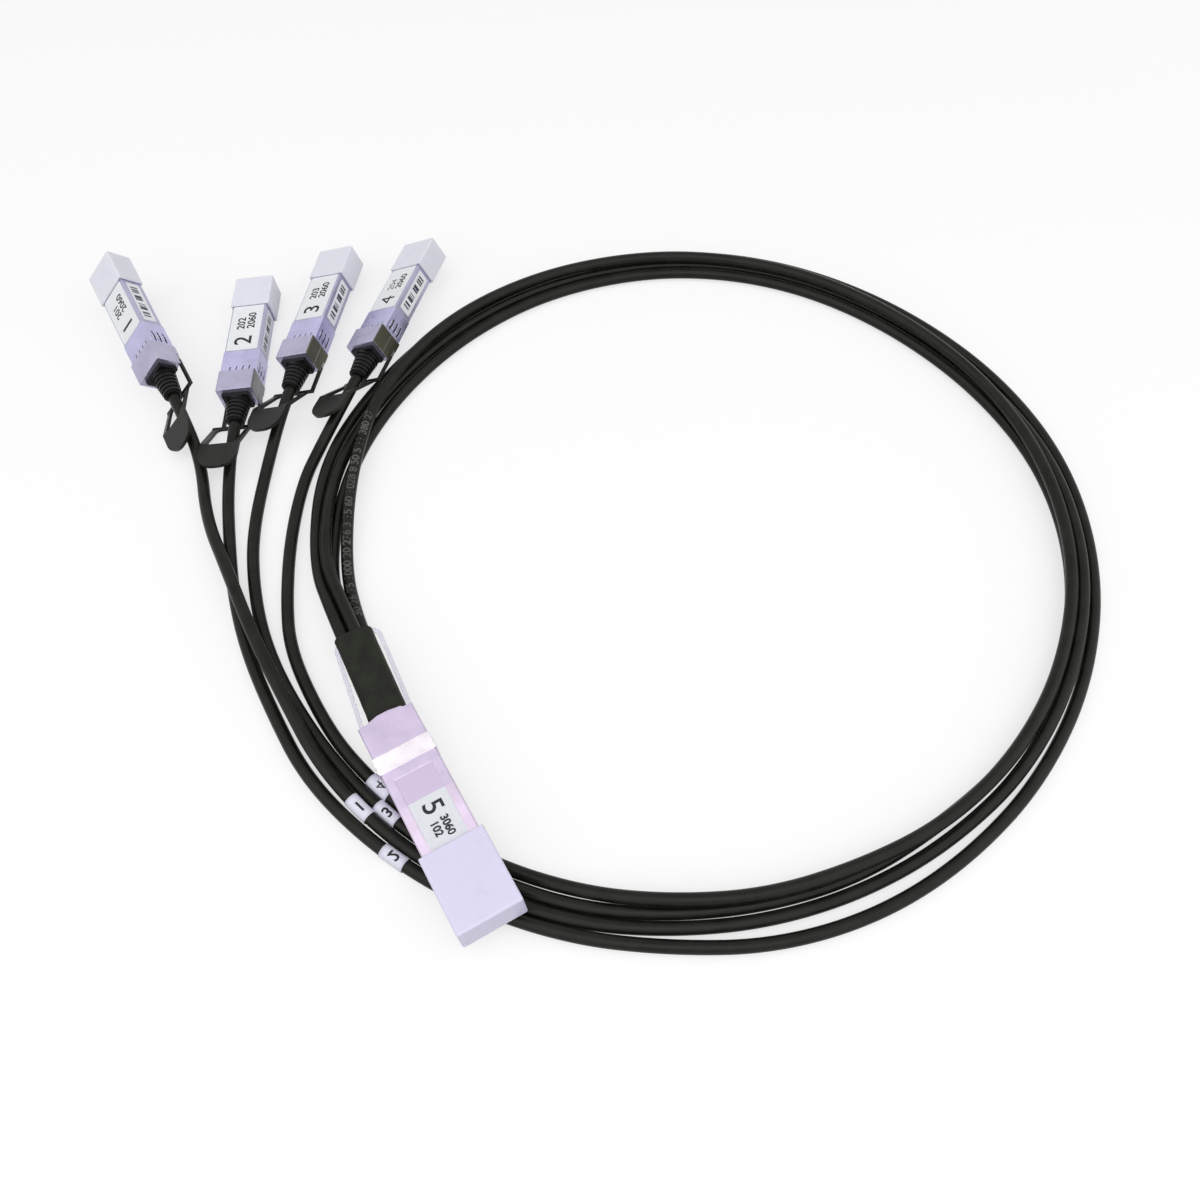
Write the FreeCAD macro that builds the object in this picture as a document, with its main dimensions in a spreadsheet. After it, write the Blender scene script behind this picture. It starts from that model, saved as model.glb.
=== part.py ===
import FreeCAD
import Part
import Sketcher
import math
import os

# A breakout cable assembly: one wide plug, four thin cables in a loose loop, four narrow plugs.
# Each plug is drawn in its own frame: +Y runs to the nose, +Z up, the origin at the rear underside.
# All lengths are in millimetres.

Vector = FreeCAD.Vector
Rotation = FreeCAD.Rotation
Placement = FreeCAD.Placement

doc = FreeCAD.newDocument("breakout_cable")
sheet = doc.addObject("Spreadsheet::Sheet", "sizes")
SIZES = {}
PIECES = []
CORDS = []


# Named sizes and sums of them

def amount(text):
    """Value of a sum of named sizes, such as 'length - wall/2'."""
    total = 0.0
    sign = 1.0
    for word in text.split():
        if word in ("+", "-"):
            sign = 1.0 if word == "+" else -1.0
            continue
        name, _, times = word.partition("*")
        name, _, parts = name.partition("/")
        term = SIZES[name] if name in SIZES else float(name)
        total += sign * term * float(times or 1) / float(parts or 1)
    return total


def bound(text):
    """The same sum as an expression on the sheet."""
    words = text.split()
    if words[0] == "+":
        words.pop(0)
    return " ".join(word if not word[0].isalpha() else "sizes." + word for word in words)


def flip(text):
    """The same sum with every sign turned round."""
    words = text.split()
    if words[0] not in ("+", "-"):
        words.insert(0, "+")
    return " ".join({"+": "-", "-": "+"}.get(word, word) for word in words)


def size(name, value):
    """Write one named size, a number or a sum of earlier ones, on the sheet."""
    row = str(len(SIZES) + 1)
    sheet.set("A" + row, name)
    sheet.set("B" + row, "=" + value if isinstance(value, str) else str(value))
    sheet.setAlias("B" + row, name)
    SIZES[name] = amount(value) if isinstance(value, str) else float(value)


# Wide plug
size("wide_length", 70.1)
size("wide_width", 18.35)
size("wide_top", 10.5)
size("wide_base", 2.0)
size("wide_split", 7.2)
size("wide_block", 11.7)
size("wide_band_end", 17.9)
size("wide_wall", 1.275)
size("wide_rear_wall", 1.5)
size("wide_floor", 1.0)
size("wide_roof", 1.0)
size("wide_bay_half", 6.7)
size("wide_neck_half", 6.6)
size("wide_neck_low", 1.3)
size("lip_reach", 1.3)
size("lip_thick", 0.2)
size("wide_board_thick", 1.0)
size("wide_board_low", 5.6)
size("wide_ledge", 0.9)
size("latch_depth", 0.775)
size("latch_thick", 0.6)
size("latch_gap", 0.1)
size("latch_low", 3.6)
size("latch_high", 6.6)
size("latch_front", 47.0)
size("latch_rear", 2.5)
size("latch_plate_front", 8.0)
size("latch_plate_low", 0.15)
size("latch_plate_high", 0.95)
size("wide_cap_grip", 22.1)
size("wide_cap_start", "wide_length - wide_cap_grip")
size("wide_cap_end", "wide_length + 3.7")
size("wide_cap_wall", 1.1)
size("cap_gap", 0.12)
size("wide_label_start", 21.4)
size("wide_label_end", 44.2)
size("wide_label_half", 6.2)
size("label_depth", 0.15)
size("label_thick", 0.1)

# Narrow plug
size("plug_length", 57.5)
size("plug_width", 13.55)
size("plug_top", 9.45)
size("plug_base", 0.9)
size("plug_split", 5.3)
size("plug_wall", 1.0)
size("plug_roof", 0.9)
size("plug_floor", 1.1)
size("block_length", 9.5)
size("block_width", "plug_width + 0.45")
size("block_height", "plug_top + 1.65")
size("block_rear_wall", 1.3)
size("block_bay_half", 4.55)
size("label_half", "plug_width/2 - 1.175")
size("collar_end", 20.6)
size("collar_thick", 0.22)
size("collar_slit", 0.5)
size("collar_gap", 0.75)
size("board_width", "plug_width - plug_wall*2 - 0.95")
size("board_thick", 1.0)
size("board_front_gap", 1.2)
size("slider_half", 3.0)
size("slider_thick", 0.6)
size("slider_low", 1.0)
size("slider_front", 36.0)
size("slider_gap", 0.1)
size("fork_start", 28.0)
size("fork_half", 1.6)
size("boss_start", 31.0)
size("boss_end", 34.5)
size("boss_half", 1.2)
size("foot_half", "plug_width/2 + 0.125")
size("foot_rear", 2.4)
size("foot_front", 4.9)
size("foot_low", 0.15)
size("foot_high", 1.05)
size("peg_rear", 12.4)
size("peg_front", 13.0)
size("spring_front", 22.4)
size("spring_half", 0.8)
size("wire", 0.3)
size("cap_grip", 12.5)
size("cap_start", "plug_length - cap_grip")
size("cap_end", "plug_length + 2.8")
size("cap_wall", 0.7)

# Cable, boot and markers
size("cable_diameter", 4.3)
size("cable_height", 5.0)
size("neck_half", 3.5)
size("neck_low", 2.0)
size("flange_half", 4.4)
size("flange_length", 1.8)
size("boot_length", 11.5)
size("boot_base", 1.6)
size("boot_base_half", 5.0)
size("boot_base_rise", 4.4)
size("boot_base_drop", 3.1)
size("boot_root_radius", 4.4)
size("boot_taper", 0.19)
size("boot_groove", 0.55)
size("wrap_length", 8.6)
size("wrap_gap", 0.12)
size("wrap_thick", 0.15)

# Pull tabs
size("tab_left", 10.4)
size("tab_right", 4.3)
size("tab_arm_out", "foot_half + 0.1")
size("tab_arm_in", "foot_half - 1.2")
size("tab_bar_front", 9.2)
size("tab_bar_rear", 10.2)
size("tab_hole_left", 8.2)
size("tab_hole_right", 2.8)
size("tab_hole_rear", 23.4)
size("tab_rear", 34.2)
size("tab_rise", 7.0)
size("tab_thick", 1.3)
size("tab_corner", 6.4)
size("tab_hole_corner", 1.8)
size("loop_half", 9.1)
size("loop_strap", 1.4)
size("loop_rear", 40.0)
size("loop_bulb", 35.0)
size("loop_shift", 2.7)
size("loop_thick", 0.5)
size("loop_drop", 1.15)
size("loop_corner", 4.5)

# Sheath round the four cables behind the wide plug
size("sheath_length", 35.0)
size("sheath_wall", 0.6)
size("sheath_turn", -5.0)
size("sheath_dip", 2.2)
size("sheath_middle", 5.75)
size("sheath_play", 0.3)
size("sheath_corner", 3.0)
size("lane_rise", "cable_diameter/2 - 0.25")
size("lane_near", "cable_diameter/4 + 0.075")
size("lane_far", "cable_diameter + 0.15 - lane_near")
size("lane_spread", 0.35)
size("lane_shift", -0.75)
size("clamp_rear", 2.0)
size("clamp_long", 2.4)

# Where each plug lies: place on the table, heading, nose-up angle and roll
PLUGS = {
    "quad": (-65.3, 167.5, 3.3, 150.7, 2.5, -4.0),
    "leg1": (-160.2, 312.9, None, -29.8, 4.0, 45.0),
    "leg2": (-134.2, 303.4, None, -1.7, 0.0, 6.7),
    "leg3": (-112.3, 318.0, None, 9.0, 0.0, 19.7),
    "leg4": (-85.5, 322.2, None, 16.4, 0.0, 28.3),
}


def plug_place(name):
    """Placement of a plug; a narrow one leans until its tab's edge meets the table."""
    x, y, z, heading, nose_up, roll = PLUGS[name]
    turn = Rotation(Vector(0, 0, 1), -heading) * Rotation(Vector(1, 0, 0), nose_up)
    turn = turn * Rotation(Vector(0, 1, 0), -roll)
    if z is None:
        lean = math.radians(roll)
        lift = math.radians(nose_up)
        z = SIZES["tab_left"] * math.sin(lean) - SIZES["foot_low"] * math.cos(lean)
        z = z * math.cos(lift) + SIZES["tab_bar_rear"] * math.sin(lift)
    return Placement(Vector(x, y, z), turn)


# Feature helpers

def new_body(label, place):
    """Start a body that is handed over under this label."""
    body = doc.addObject("PartDesign::Body", label)
    body.Label = label
    PIECES.append((body, place))
    return body


def box(body, name, x, y, z, cut=False):
    """Add or cut a box between three pairs of named sums."""
    kind = "PartDesign::SubtractiveBox" if cut else "PartDesign::AdditiveBox"
    feature = body.newObject(kind, name)
    for side, axis, (low, high) in zip(("Length", "Width", "Height"), "xyz", (x, y, z)):
        feature.setExpression(side, bound(high) + " - (" + bound(low) + ")")
        feature.setExpression("Placement.Base." + axis, bound(low))
    return feature


def mirrored_boxes(body, name, x, y, z, cut=False):
    """The same box on the right and on the left."""
    box(body, name + "_right", x, y, z, cut)
    return box(body, name + "_left", (flip(x[1]), flip(x[0])), y, z, cut)


def rod(body, name, centre, radius, length, along="Z", cut=False):
    """Add or cut a cylinder that starts at a point and runs along Z or Y."""
    kind = "PartDesign::SubtractiveCylinder" if cut else "PartDesign::AdditiveCylinder"
    feature = body.newObject(kind, name)
    if along == "Y":
        feature.Placement = Placement(Vector(), Rotation(Vector(1, 0, 0), -90))
    feature.setExpression("Radius", bound(radius))
    feature.setExpression("Height", bound(length))
    for axis, text in zip("xyz", centre):
        feature.setExpression("Placement.Base." + axis, bound(text))
    return feature


def outline(body, name, role, loops, level=None):
    """Draw closed outlines on an origin plane, each corner a pair of named sums."""
    drawing = body.newObject("Sketcher::SketchObject", name)
    plane = [item for item in body.Origin.OriginFeatures if item.Role == role][0]
    drawing.AttachmentSupport = [(plane, "")]
    drawing.MapMode = "FlatFace"
    if level:
        drawing.setExpression("AttachmentOffset.Base.z", bound(level))
    for corners in loops:
        first = len(drawing.Geometry)
        count = len(corners)
        points = [Vector(amount(across), amount(up), 0) for across, up in corners]
        for step in range(count):
            line = Part.LineSegment(points[step], points[(step + 1) % count])
            drawing.addGeometry(line, False)
        for step in range(count):
            after = first + (step + 1) % count
            drawing.addConstraint(Sketcher.Constraint("Coincident", first + step, 2, after, 1))
        for step, corner in enumerate(corners):
            for kind, axis, text in zip(("DistanceX", "DistanceY"), (-2, -1), corner):
                value = amount(text)
                if abs(value) < 1e-9:
                    rule = Sketcher.Constraint("PointOnObject", first + step, 1, axis)
                    drawing.addConstraint(rule)
                    continue
                rule = Sketcher.Constraint(kind, -1, 1, first + step, 1, value)
                index = drawing.addConstraint(rule)
                drawing.setExpression("Constraints[%d]" % index, bound(text))
    return drawing


def extrude(body, name, drawing, length, middle=False, cut=False):
    """Pad or pocket an outline, either way from its plane or equally to both sides."""
    feature = body.newObject("PartDesign::Pocket" if cut else "PartDesign::Pad", name)
    feature.Profile = drawing
    feature.setExpression("Length", bound(length))
    if middle:
        feature.SideType = "Symmetric"
    return feature


def soften(body, name, feature, radius, pick, bevel=False):
    """Round or bevel the edges that a test on their middle and direction picks."""
    doc.recompute()
    names = []
    for index, edge in enumerate(feature.Shape.Edges):
        middle = edge.valueAt((edge.FirstParameter + edge.LastParameter) / 2)
        along = edge.lastVertex().Point - edge.firstVertex().Point
        if along.Length > 0 and pick(middle, along.normalize()):
            names.append("Edge%d" % (index + 1))
    softened = body.newObject("PartDesign::Chamfer" if bevel else "PartDesign::Fillet", name)
    softened.Base = (feature, names)
    softened.setExpression("Size" if bevel else "Radius", bound(radius))
    return softened


def meander(body, name, role, half, start, pitch, rows, level, thick):
    """Fold a flat spring: rows across, joined at alternate ends."""
    def at(side, step, extra=False):
        return side, start + " + " + pitch + "*" + str(step) + (" + wire" if extra else "")

    left = flip(half)
    corners = [at(half, 0)]
    for step in range(0, rows - 1, 2):
        corners += [at(half, step + 1, True), at(left + " + wire", step + 1, True)]
        corners += [at(left + " + wire", step + 2), at(half, step + 2)]
    corners += [at(half, rows - 1, True), at(left, rows - 1, True)]
    for step in range(rows - 2, 0, -2):
        corners += [at(left, step), at(half + " - wire", step)]
        corners += [at(half + " - wire", step - 1, True), at(left, step - 1, True)]
    corners.append(at(left, 0))
    drawing = outline(body, name + "_outline", role, [corners], level)
    return extrude(body, name, drawing, thick)


def group(label, members, place):
    """Hand several loose solids over as one piece."""
    compound = doc.addObject("Part::Compound", label)
    compound.Label = label
    compound.Links = members
    PIECES.append((compound, place))
    return compound


def screw(name, x, y, head_low, head_high, tip):
    """A countersunk screw: head, shank and a hexagonal drive recess."""
    body = doc.addObject("PartDesign::Body", name)
    rod(body, name + "_head", (x, y, head_low), "screw_head", head_high + " - " + head_low)
    rod(body, name + "_shank", (x, y, head_high), "screw_radius", tip + " - " + head_high)
    drive = body.newObject("PartDesign::SubtractivePrism", name + "_drive")
    drive.Polygon = 6
    drive.setExpression("Circumradius", "sizes.screw_drive")
    drive.setExpression("Height", "sizes.screw_drive")
    for axis, text in zip("xyz", (x, y, head_low)):
        drive.setExpression("Placement.Base." + axis, bound(text))
    return body


size("screw_radius", 0.7)
size("screw_hole", "screw_radius + 0.05")
size("screw_head", 1.1)
size("screw_well", "screw_head + 0.1")
size("screw_drive", 0.45)
size("screw_x", "plug_width/2 - 1.025")
size("screw_y", 6.6)
size("screw_sink", 0.9)
size("screw_tip", "plug_top - 1.55")
size("wide_screw_tip", "wide_top - 1.3")
size("wide_screw_x", "wide_width/2 - 1.675")
size("wide_screw_y", 10.2)
size("spring_pitch", "spring_front/6 - peg_front/6 - wire/6")
size("latch_peg_rear", 30.3)
size("latch_peg_front", 31.0)
size("latch_spring_front", 38.2)
size("latch_spring_pitch", "latch_spring_front/6 - latch_peg_front/6 - wire/6")
size("latch_spring_half", 0.55)
size("latch_window_half", 0.75)
size("latch_middle", "latch_low/2 + latch_high/2")


# Narrow plug pieces

def plug_bottom_shell(leg, place):
    """Cast lower half: block, tray, board ledges, slider channel and lock boss."""
    body = new_body(leg + "_bottom_shell", place)
    side = [("0", "plug_base"), ("plug_length", "plug_base"),
            ("plug_length", "plug_split"), ("0", "plug_split")]
    tray = extrude(body, leg + "_tray", outline(body, leg + "_tray_side", "YZ_Plane", [side]),
                   "plug_width", middle=True)
    soften(body, leg + "_nose_bevel", tray, "0.4",
           lambda middle, along: abs(along.x) > 0.9 and middle.y > amount("plug_length - 1")
           and middle.z < amount("plug_base + 0.1"), bevel=True)
    box(body, leg + "_block_low", ("- block_width/2", "block_width/2"),
        ("0", "block_length"), ("0", "plug_split"))
    inner = "plug_width/2 - plug_wall"
    box(body, leg + "_tray_bay", (flip(inner), inner), ("block_length + 1.5", "plug_length"),
        ("plug_base + plug_floor", "plug_split"), cut=True)
    box(body, leg + "_block_bay", ("- block_bay_half", "block_bay_half"),
        ("block_rear_wall", "block_length + 1.5"), ("neck_low", "plug_split"), cut=True)
    box(body, leg + "_neck_way", ("- neck_half", "neck_half"), ("0", "block_rear_wall"),
        ("neck_low", "plug_split"), cut=True)
    mirrored_boxes(body, leg + "_ledge", ("board_width/2 - 0.4", inner),
                   ("block_length + 4", "plug_length - 3"),
                   ("plug_base + plug_floor", "plug_split - board_thick"))
    channel = "slider_half + slider_gap"
    box(body, leg + "_channel", (flip(channel), channel),
        ("0", "slider_front + 1"), ("0", "slider_low + slider_thick + slider_gap"), cut=True)
    box(body, leg + "_foot_way", ("- block_width/2", "block_width/2"),
        ("0", "foot_front + slider_gap*3"), ("0", "foot_high + slider_gap"), cut=True)
    box(body, leg + "_peg", ("- spring_half", "spring_half"), ("peg_rear", "peg_front"),
        ("slider_low", "slider_low + slider_thick + slider_gap"))
    boss = [("boss_start", "slider_low + slider_thick + slider_gap"), ("boss_start", "0.1"),
            ("boss_end", "slider_low + slider_thick + slider_gap")]
    extrude(body, leg + "_boss", outline(body, leg + "_boss_side", "YZ_Plane", [boss]),
            "boss_half*2", middle=True)
    for hand, x in (("right", "screw_x"), ("left", "- screw_x")):
        rod(body, leg + "_screw_way_" + hand, (x, "screw_y", "0"), "screw_hole",
            "plug_split", cut=True)
        rod(body, leg + "_screw_well_" + hand, (x, "screw_y", "0"), "screw_well",
            "screw_sink", cut=True)
    return body


def plug_top_shell(leg, place):
    """Cast upper half: taller block, cover, board stops and the label's recess."""
    body = new_body(leg + "_top_shell", place)
    side = [("0", "plug_split"), ("plug_length", "plug_split"), ("plug_length", "plug_top"),
            ("block_length", "plug_top"), ("block_length", "block_height"),
            ("0", "block_height")]
    cover = extrude(body, leg + "_cover", outline(body, leg + "_cover_side", "YZ_Plane", [side]),
                    "plug_width", middle=True)
    soften(body, leg + "_nose_bevel_top", cover, "0.4",
           lambda middle, along: abs(along.x) > 0.9 and middle.y > amount("plug_length - 1")
           and middle.z > amount("plug_top - 0.1"), bevel=True)
    block = box(body, leg + "_block_high", ("- block_width/2", "block_width/2"),
                ("0", "block_length"), ("plug_split", "block_height"))
    soften(body, leg + "_block_round", block, "0.5",
           lambda middle, along: abs(along.y) > 0.9 and middle.z > amount("block_height - 0.1"))
    inner = "plug_width/2 - plug_wall"
    box(body, leg + "_cover_bay", (flip(inner), inner), ("block_length + 1.5", "plug_length"),
        ("plug_split", "plug_top - plug_roof"), cut=True)
    box(body, leg + "_block_bay_top", ("- block_bay_half", "block_bay_half"),
        ("block_rear_wall", "block_length + 1.5"), ("plug_split", "cable_height*2 - neck_low"),
        cut=True)
    box(body, leg + "_neck_way_top", ("- neck_half", "neck_half"), ("0", "block_rear_wall"),
        ("plug_split", "cable_height*2 - neck_low"), cut=True)
    for stop, y in (("rear", "block_length + 10.5"), ("front", "plug_length - 9")):
        mirrored_boxes(body, leg + "_stop_" + stop, ("board_width/2 - 0.4", inner),
                       (y, y + " + 3"), ("plug_split", "plug_top - plug_roof"))
    box(body, leg + "_label_bed", ("- label_half", "label_half"), ("collar_end + 1.4", "cap_start - 1"),
        ("plug_top - label_depth", "plug_top"), cut=True)
    for hand, x in (("right", "screw_x"), ("left", "- screw_x")):
        rod(body, leg + "_screw_way_top_" + hand, (x, "screw_y", "plug_split"), "screw_hole",
            "screw_tip + 0.2 - plug_split", cut=True)
    return body


def plug_board(leg, place):
    """Paddle board: its bevelled tongue at the nose, one small chip and two pads behind."""
    body = new_body(leg + "_circuit_board", place)
    half = "board_width/2"
    nose = "plug_length - board_front_gap"
    plan = [(flip(half), "block_length + 1.7"), (half, "block_length + 1.7"),
            (half, nose + " - 0.8"), ("board_width/2 - 0.8", nose),
            ("- board_width/2 + 0.8", nose), (flip(half), nose + " - 0.8")]
    drawing = outline(body, leg + "_board_plan", "XY_Plane", [plan], "plug_split - board_thick")
    extrude(body, leg + "_board", drawing, "board_thick")
    box(body, leg + "_chip", ("- 2", "2"), ("plug_length - 24", "plug_length - 19"),
        ("plug_split", "plug_split + 0.9"))
    return body


def plug_collar(leg, place):
    """Sheet-metal contact collar: a folded ring, slit into spring fingers."""
    body = new_body(leg + "_contact_collar", place)
    out = "plug_width/2 + collar_thick"
    rear = "block_length + 0.05"
    box(body, leg + "_ring", (flip(out), out), (rear, "collar_end"),
        ("plug_base - collar_thick", "plug_top + collar_thick"))
    mirrored_boxes(body, leg + "_crown", ("plug_width/2", out + " + 0.2"),
                   ("block_length + 2.2", "block_length + 4.6"), ("plug_base + 1.2", "plug_top - 1.2"))
    box(body, leg + "_ring_bore", ("- plug_width/2", "plug_width/2"), ("block_length", "collar_end"),
        ("plug_base", "plug_top"), cut=True)
    slits = []
    for step in range(4):
        x = "collar_slit*" + str(5 * step) + " - collar_slit*8"
        slits.append([(x, "block_length + 0.8"), (x + " + collar_slit", "block_length + 0.8"),
                      (x + " + collar_slit*2", "block_length + 3.4"),
                      (x + " + collar_slit", "block_length + 3.4")])
    drawing = outline(body, leg + "_slits", "XY_Plane", slits, "plug_top + 1")
    extrude(body, leg + "_slits_top", drawing, "1.5", cut=True)
    for step in range(3):
        z = "plug_base + 1.6 + collar_gap*" + str(3 * step)
        mirrored_boxes(body, leg + "_slit_side_" + str(step), ("plug_width/2", "plug_width/2 + 1"),
                       ("block_length + 0.8", "block_length + 6.2"), (z, z + " + collar_gap"), cut=True)
    return body


def plug_slider(leg, place):
    """Latch slider: strip with a spring window, a fork round the lock boss, a wide foot."""
    body = new_body(leg + "_latch_slider", place)
    high = "slider_low + slider_thick"
    box(body, leg + "_strip", ("- slider_half", "slider_half"), ("foot_rear", "slider_front"),
        ("slider_low", high))
    box(body, leg + "_foot", ("- foot_half", "foot_half"), ("foot_rear", "foot_front"),
        ("foot_low", "foot_high"))
    box(body, leg + "_fork", ("- fork_half", "fork_half"), ("fork_start", "slider_front"),
        ("foot_low", high), cut=True)
    box(body, leg + "_window", ("- spring_half - slider_gap", "spring_half + slider_gap"),
        ("peg_rear - slider_gap*2", "spring_front"), ("foot_low", high), cut=True)
    ramp = [("slider_front - 1.6", "slider_low"), ("slider_front", "slider_low - 0.6"),
            ("slider_front", "slider_low")]
    tips = extrude(body, leg + "_ramps", outline(body, leg + "_ramp_side", "YZ_Plane", [ramp]),
                   "slider_half*2", middle=True)
    box(body, leg + "_ramp_gap", ("- fork_half", "fork_half"), ("slider_front - 2", "slider_front"),
        ("foot_low", high), cut=True)
    return tips


def plug_tab(leg, place):
    """Moulded pull tab: two arms, a bar under the cable, a ring round it and a paddle above."""
    body = new_body(leg + "_pull_tab", place)
    front = "- tab_bar_rear + 0.2"
    ring = [("- tab_left", "- tab_rear"), ("tab_right", "- tab_rear"),
            ("tab_right", front), ("- tab_left", front)]
    hole = [("- tab_hole_left", "- tab_hole_rear"), ("tab_hole_right", "- tab_hole_rear"),
            ("tab_hole_right", front + " - 0.6"), ("- tab_hole_left", front + " - 0.6")]
    drawing = outline(body, leg + "_ring_plan", "XY_Plane", [ring], "- 1")
    blank = extrude(body, leg + "_ring_blank", drawing, "tab_rise + 6")
    blank = soften(body, leg + "_ring_round", blank, "tab_corner",
                   lambda middle, along: abs(along.z) > 0.9 and middle.y < amount("- tab_rear + 1"))
    hollow = outline(body, leg + "_hole_plan", "XY_Plane", [hole], "tab_rise + 6")
    cut = extrude(body, leg + "_hole", hollow, "tab_rise + 10", cut=True)
    soften(body, leg + "_hole_round", cut, "tab_hole_corner",
           lambda middle, along: abs(along.z) > 0.9 and amount("- tab_hole_rear - 0.1") < middle.y
           < amount(front + " - 0.5")
           and amount("- tab_hole_left - 0.1") < middle.x < amount("tab_hole_right + 0.1"))
    knee = "- tab_hole_rear + 0.4"
    under = [("- tab_rear - 5", "- 3"), ("- tab_bar_front", "- 3"), ("- tab_bar_front", "foot_low"),
             ("- tab_bar_rear", "foot_low"), (knee, "tab_rise"),
             ("- tab_rear - 5", "tab_rise + 0.8")]
    extrude(body, leg + "_under_cut", outline(body, leg + "_under_side", "YZ_Plane", [under]),
            "tab_left*4", middle=True, cut=True)
    over = [("- tab_rear - 5", "tab_rise + 9"), ("- tab_bar_front", "tab_rise + 9"),
            ("- tab_bar_front", "foot_low + tab_thick"),
            ("- tab_bar_rear - 0.4", "foot_low + tab_thick"),
            (knee + " + 0.2", "tab_rise + tab_thick"),
            ("- tab_rear - 5", "tab_rise + tab_thick + 0.8")]
    extrude(body, leg + "_over_cut", outline(body, leg + "_over_side", "YZ_Plane", [over]),
            "tab_left*4", middle=True, cut=True)
    box(body, leg + "_bar", ("- tab_left", "tab_arm_out"), ("- tab_bar_rear", "- tab_bar_front"),
        ("foot_low", "foot_high + 0.15"))
    mirrored_boxes(body, leg + "_arm", ("tab_arm_in", "tab_arm_out"),
                   ("- tab_bar_rear", "foot_rear"), ("foot_low", "foot_high"))
    return body


def plug_spring(leg, place):
    """Flat return spring between the shell's peg and the slider's window."""
    body = new_body(leg + "_return_spring", place)
    meander(body, leg + "_folds", "XY_Plane", "spring_half", "peg_front", "spring_pitch", 7,
            "slider_low + 0.05", "slider_thick - 0.1")
    return body


def plug_boot(leg, place):
    """Ribbed strain relief: square base, tapering ribs, neck and flange held in the block."""
    body = new_body(leg + "_boot", place * Placement(Vector(0, 0, SIZES["cable_height"]), Rotation()))
    pitch = (SIZES["boot_length"] - SIZES["boot_base"]) / 6
    bore = "cable_diameter/2"
    profile = [("0", bore), ("0", "boot_root_radius")]
    for rib in range(6):
        rear = "- boot_base - " + str(round(pitch * rib, 3))
        radius = "boot_root_radius - boot_taper*" + str(rib)
        for step, waist in ((0.0, ""), (0.62, ""), (0.62, " - boot_groove"), (1.0, " - boot_groove")):
            profile.append((rear + " - " + str(round(pitch * step, 3)), radius + waist))
    profile.append((profile[-1][0], bore))
    drawing = outline(body, leg + "_boot_side", "YZ_Plane", [profile])
    turned = body.newObject("PartDesign::Revolution", leg + "_ribs")
    turned.Profile = drawing
    turned.ReferenceAxis = (drawing, ["H_Axis"])
    turned.Angle = 360
    box(body, leg + "_boot_base", ("- boot_base_half", "boot_base_half"), ("- boot_base", "0"),
        ("- boot_base_drop", "boot_base_rise"))
    drop = "cable_height - neck_low"
    box(body, leg + "_neck", ("- neck_half", "neck_half"), ("0", "block_rear_wall"),
        (flip(drop), drop))
    box(body, leg + "_flange", ("- flange_half", "flange_half"),
        ("block_rear_wall", "block_rear_wall + flange_length"), (flip(drop), drop))
    rod(body, leg + "_boot_bore", ("0", "- boot_length - 1", "0"), bore,
        "boot_length + block_rear_wall + flange_length + 2", along="Y", cut=True)
    return body


def plug_cap(leg, place):
    """Translucent dust cap pushed over the nose."""
    body = new_body(leg + "_dust_cap", place)
    inner = "plug_width/2 + cap_gap"
    outer = inner + " + cap_wall"
    low = "plug_base - cap_gap"
    high = "plug_top + cap_gap"
    shell = box(body, leg + "_cap_block", (flip(outer), outer), ("cap_start", "cap_end"),
                (low + " - cap_wall", high + " + cap_wall"))
    soften(body, leg + "_cap_round", shell, "0.6",
           lambda middle, along: middle.y > amount("cap_end - 0.1") or abs(along.y) > 0.9)
    box(body, leg + "_cap_bay", (flip(inner), inner), ("cap_start", "cap_end - 1"), (low, high),
        cut=True)
    return body


def plug_screws(leg, place):
    """Two screws that draw the shell halves together."""
    pair = [screw(leg + "_screw_" + hand, x, "screw_y", "0.1", "screw_sink", "screw_tip")
            for hand, x in (("right", "screw_x"), ("left", "- screw_x"))]
    return group(leg + "_screws", pair, place)


# Wide plug pieces

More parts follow.
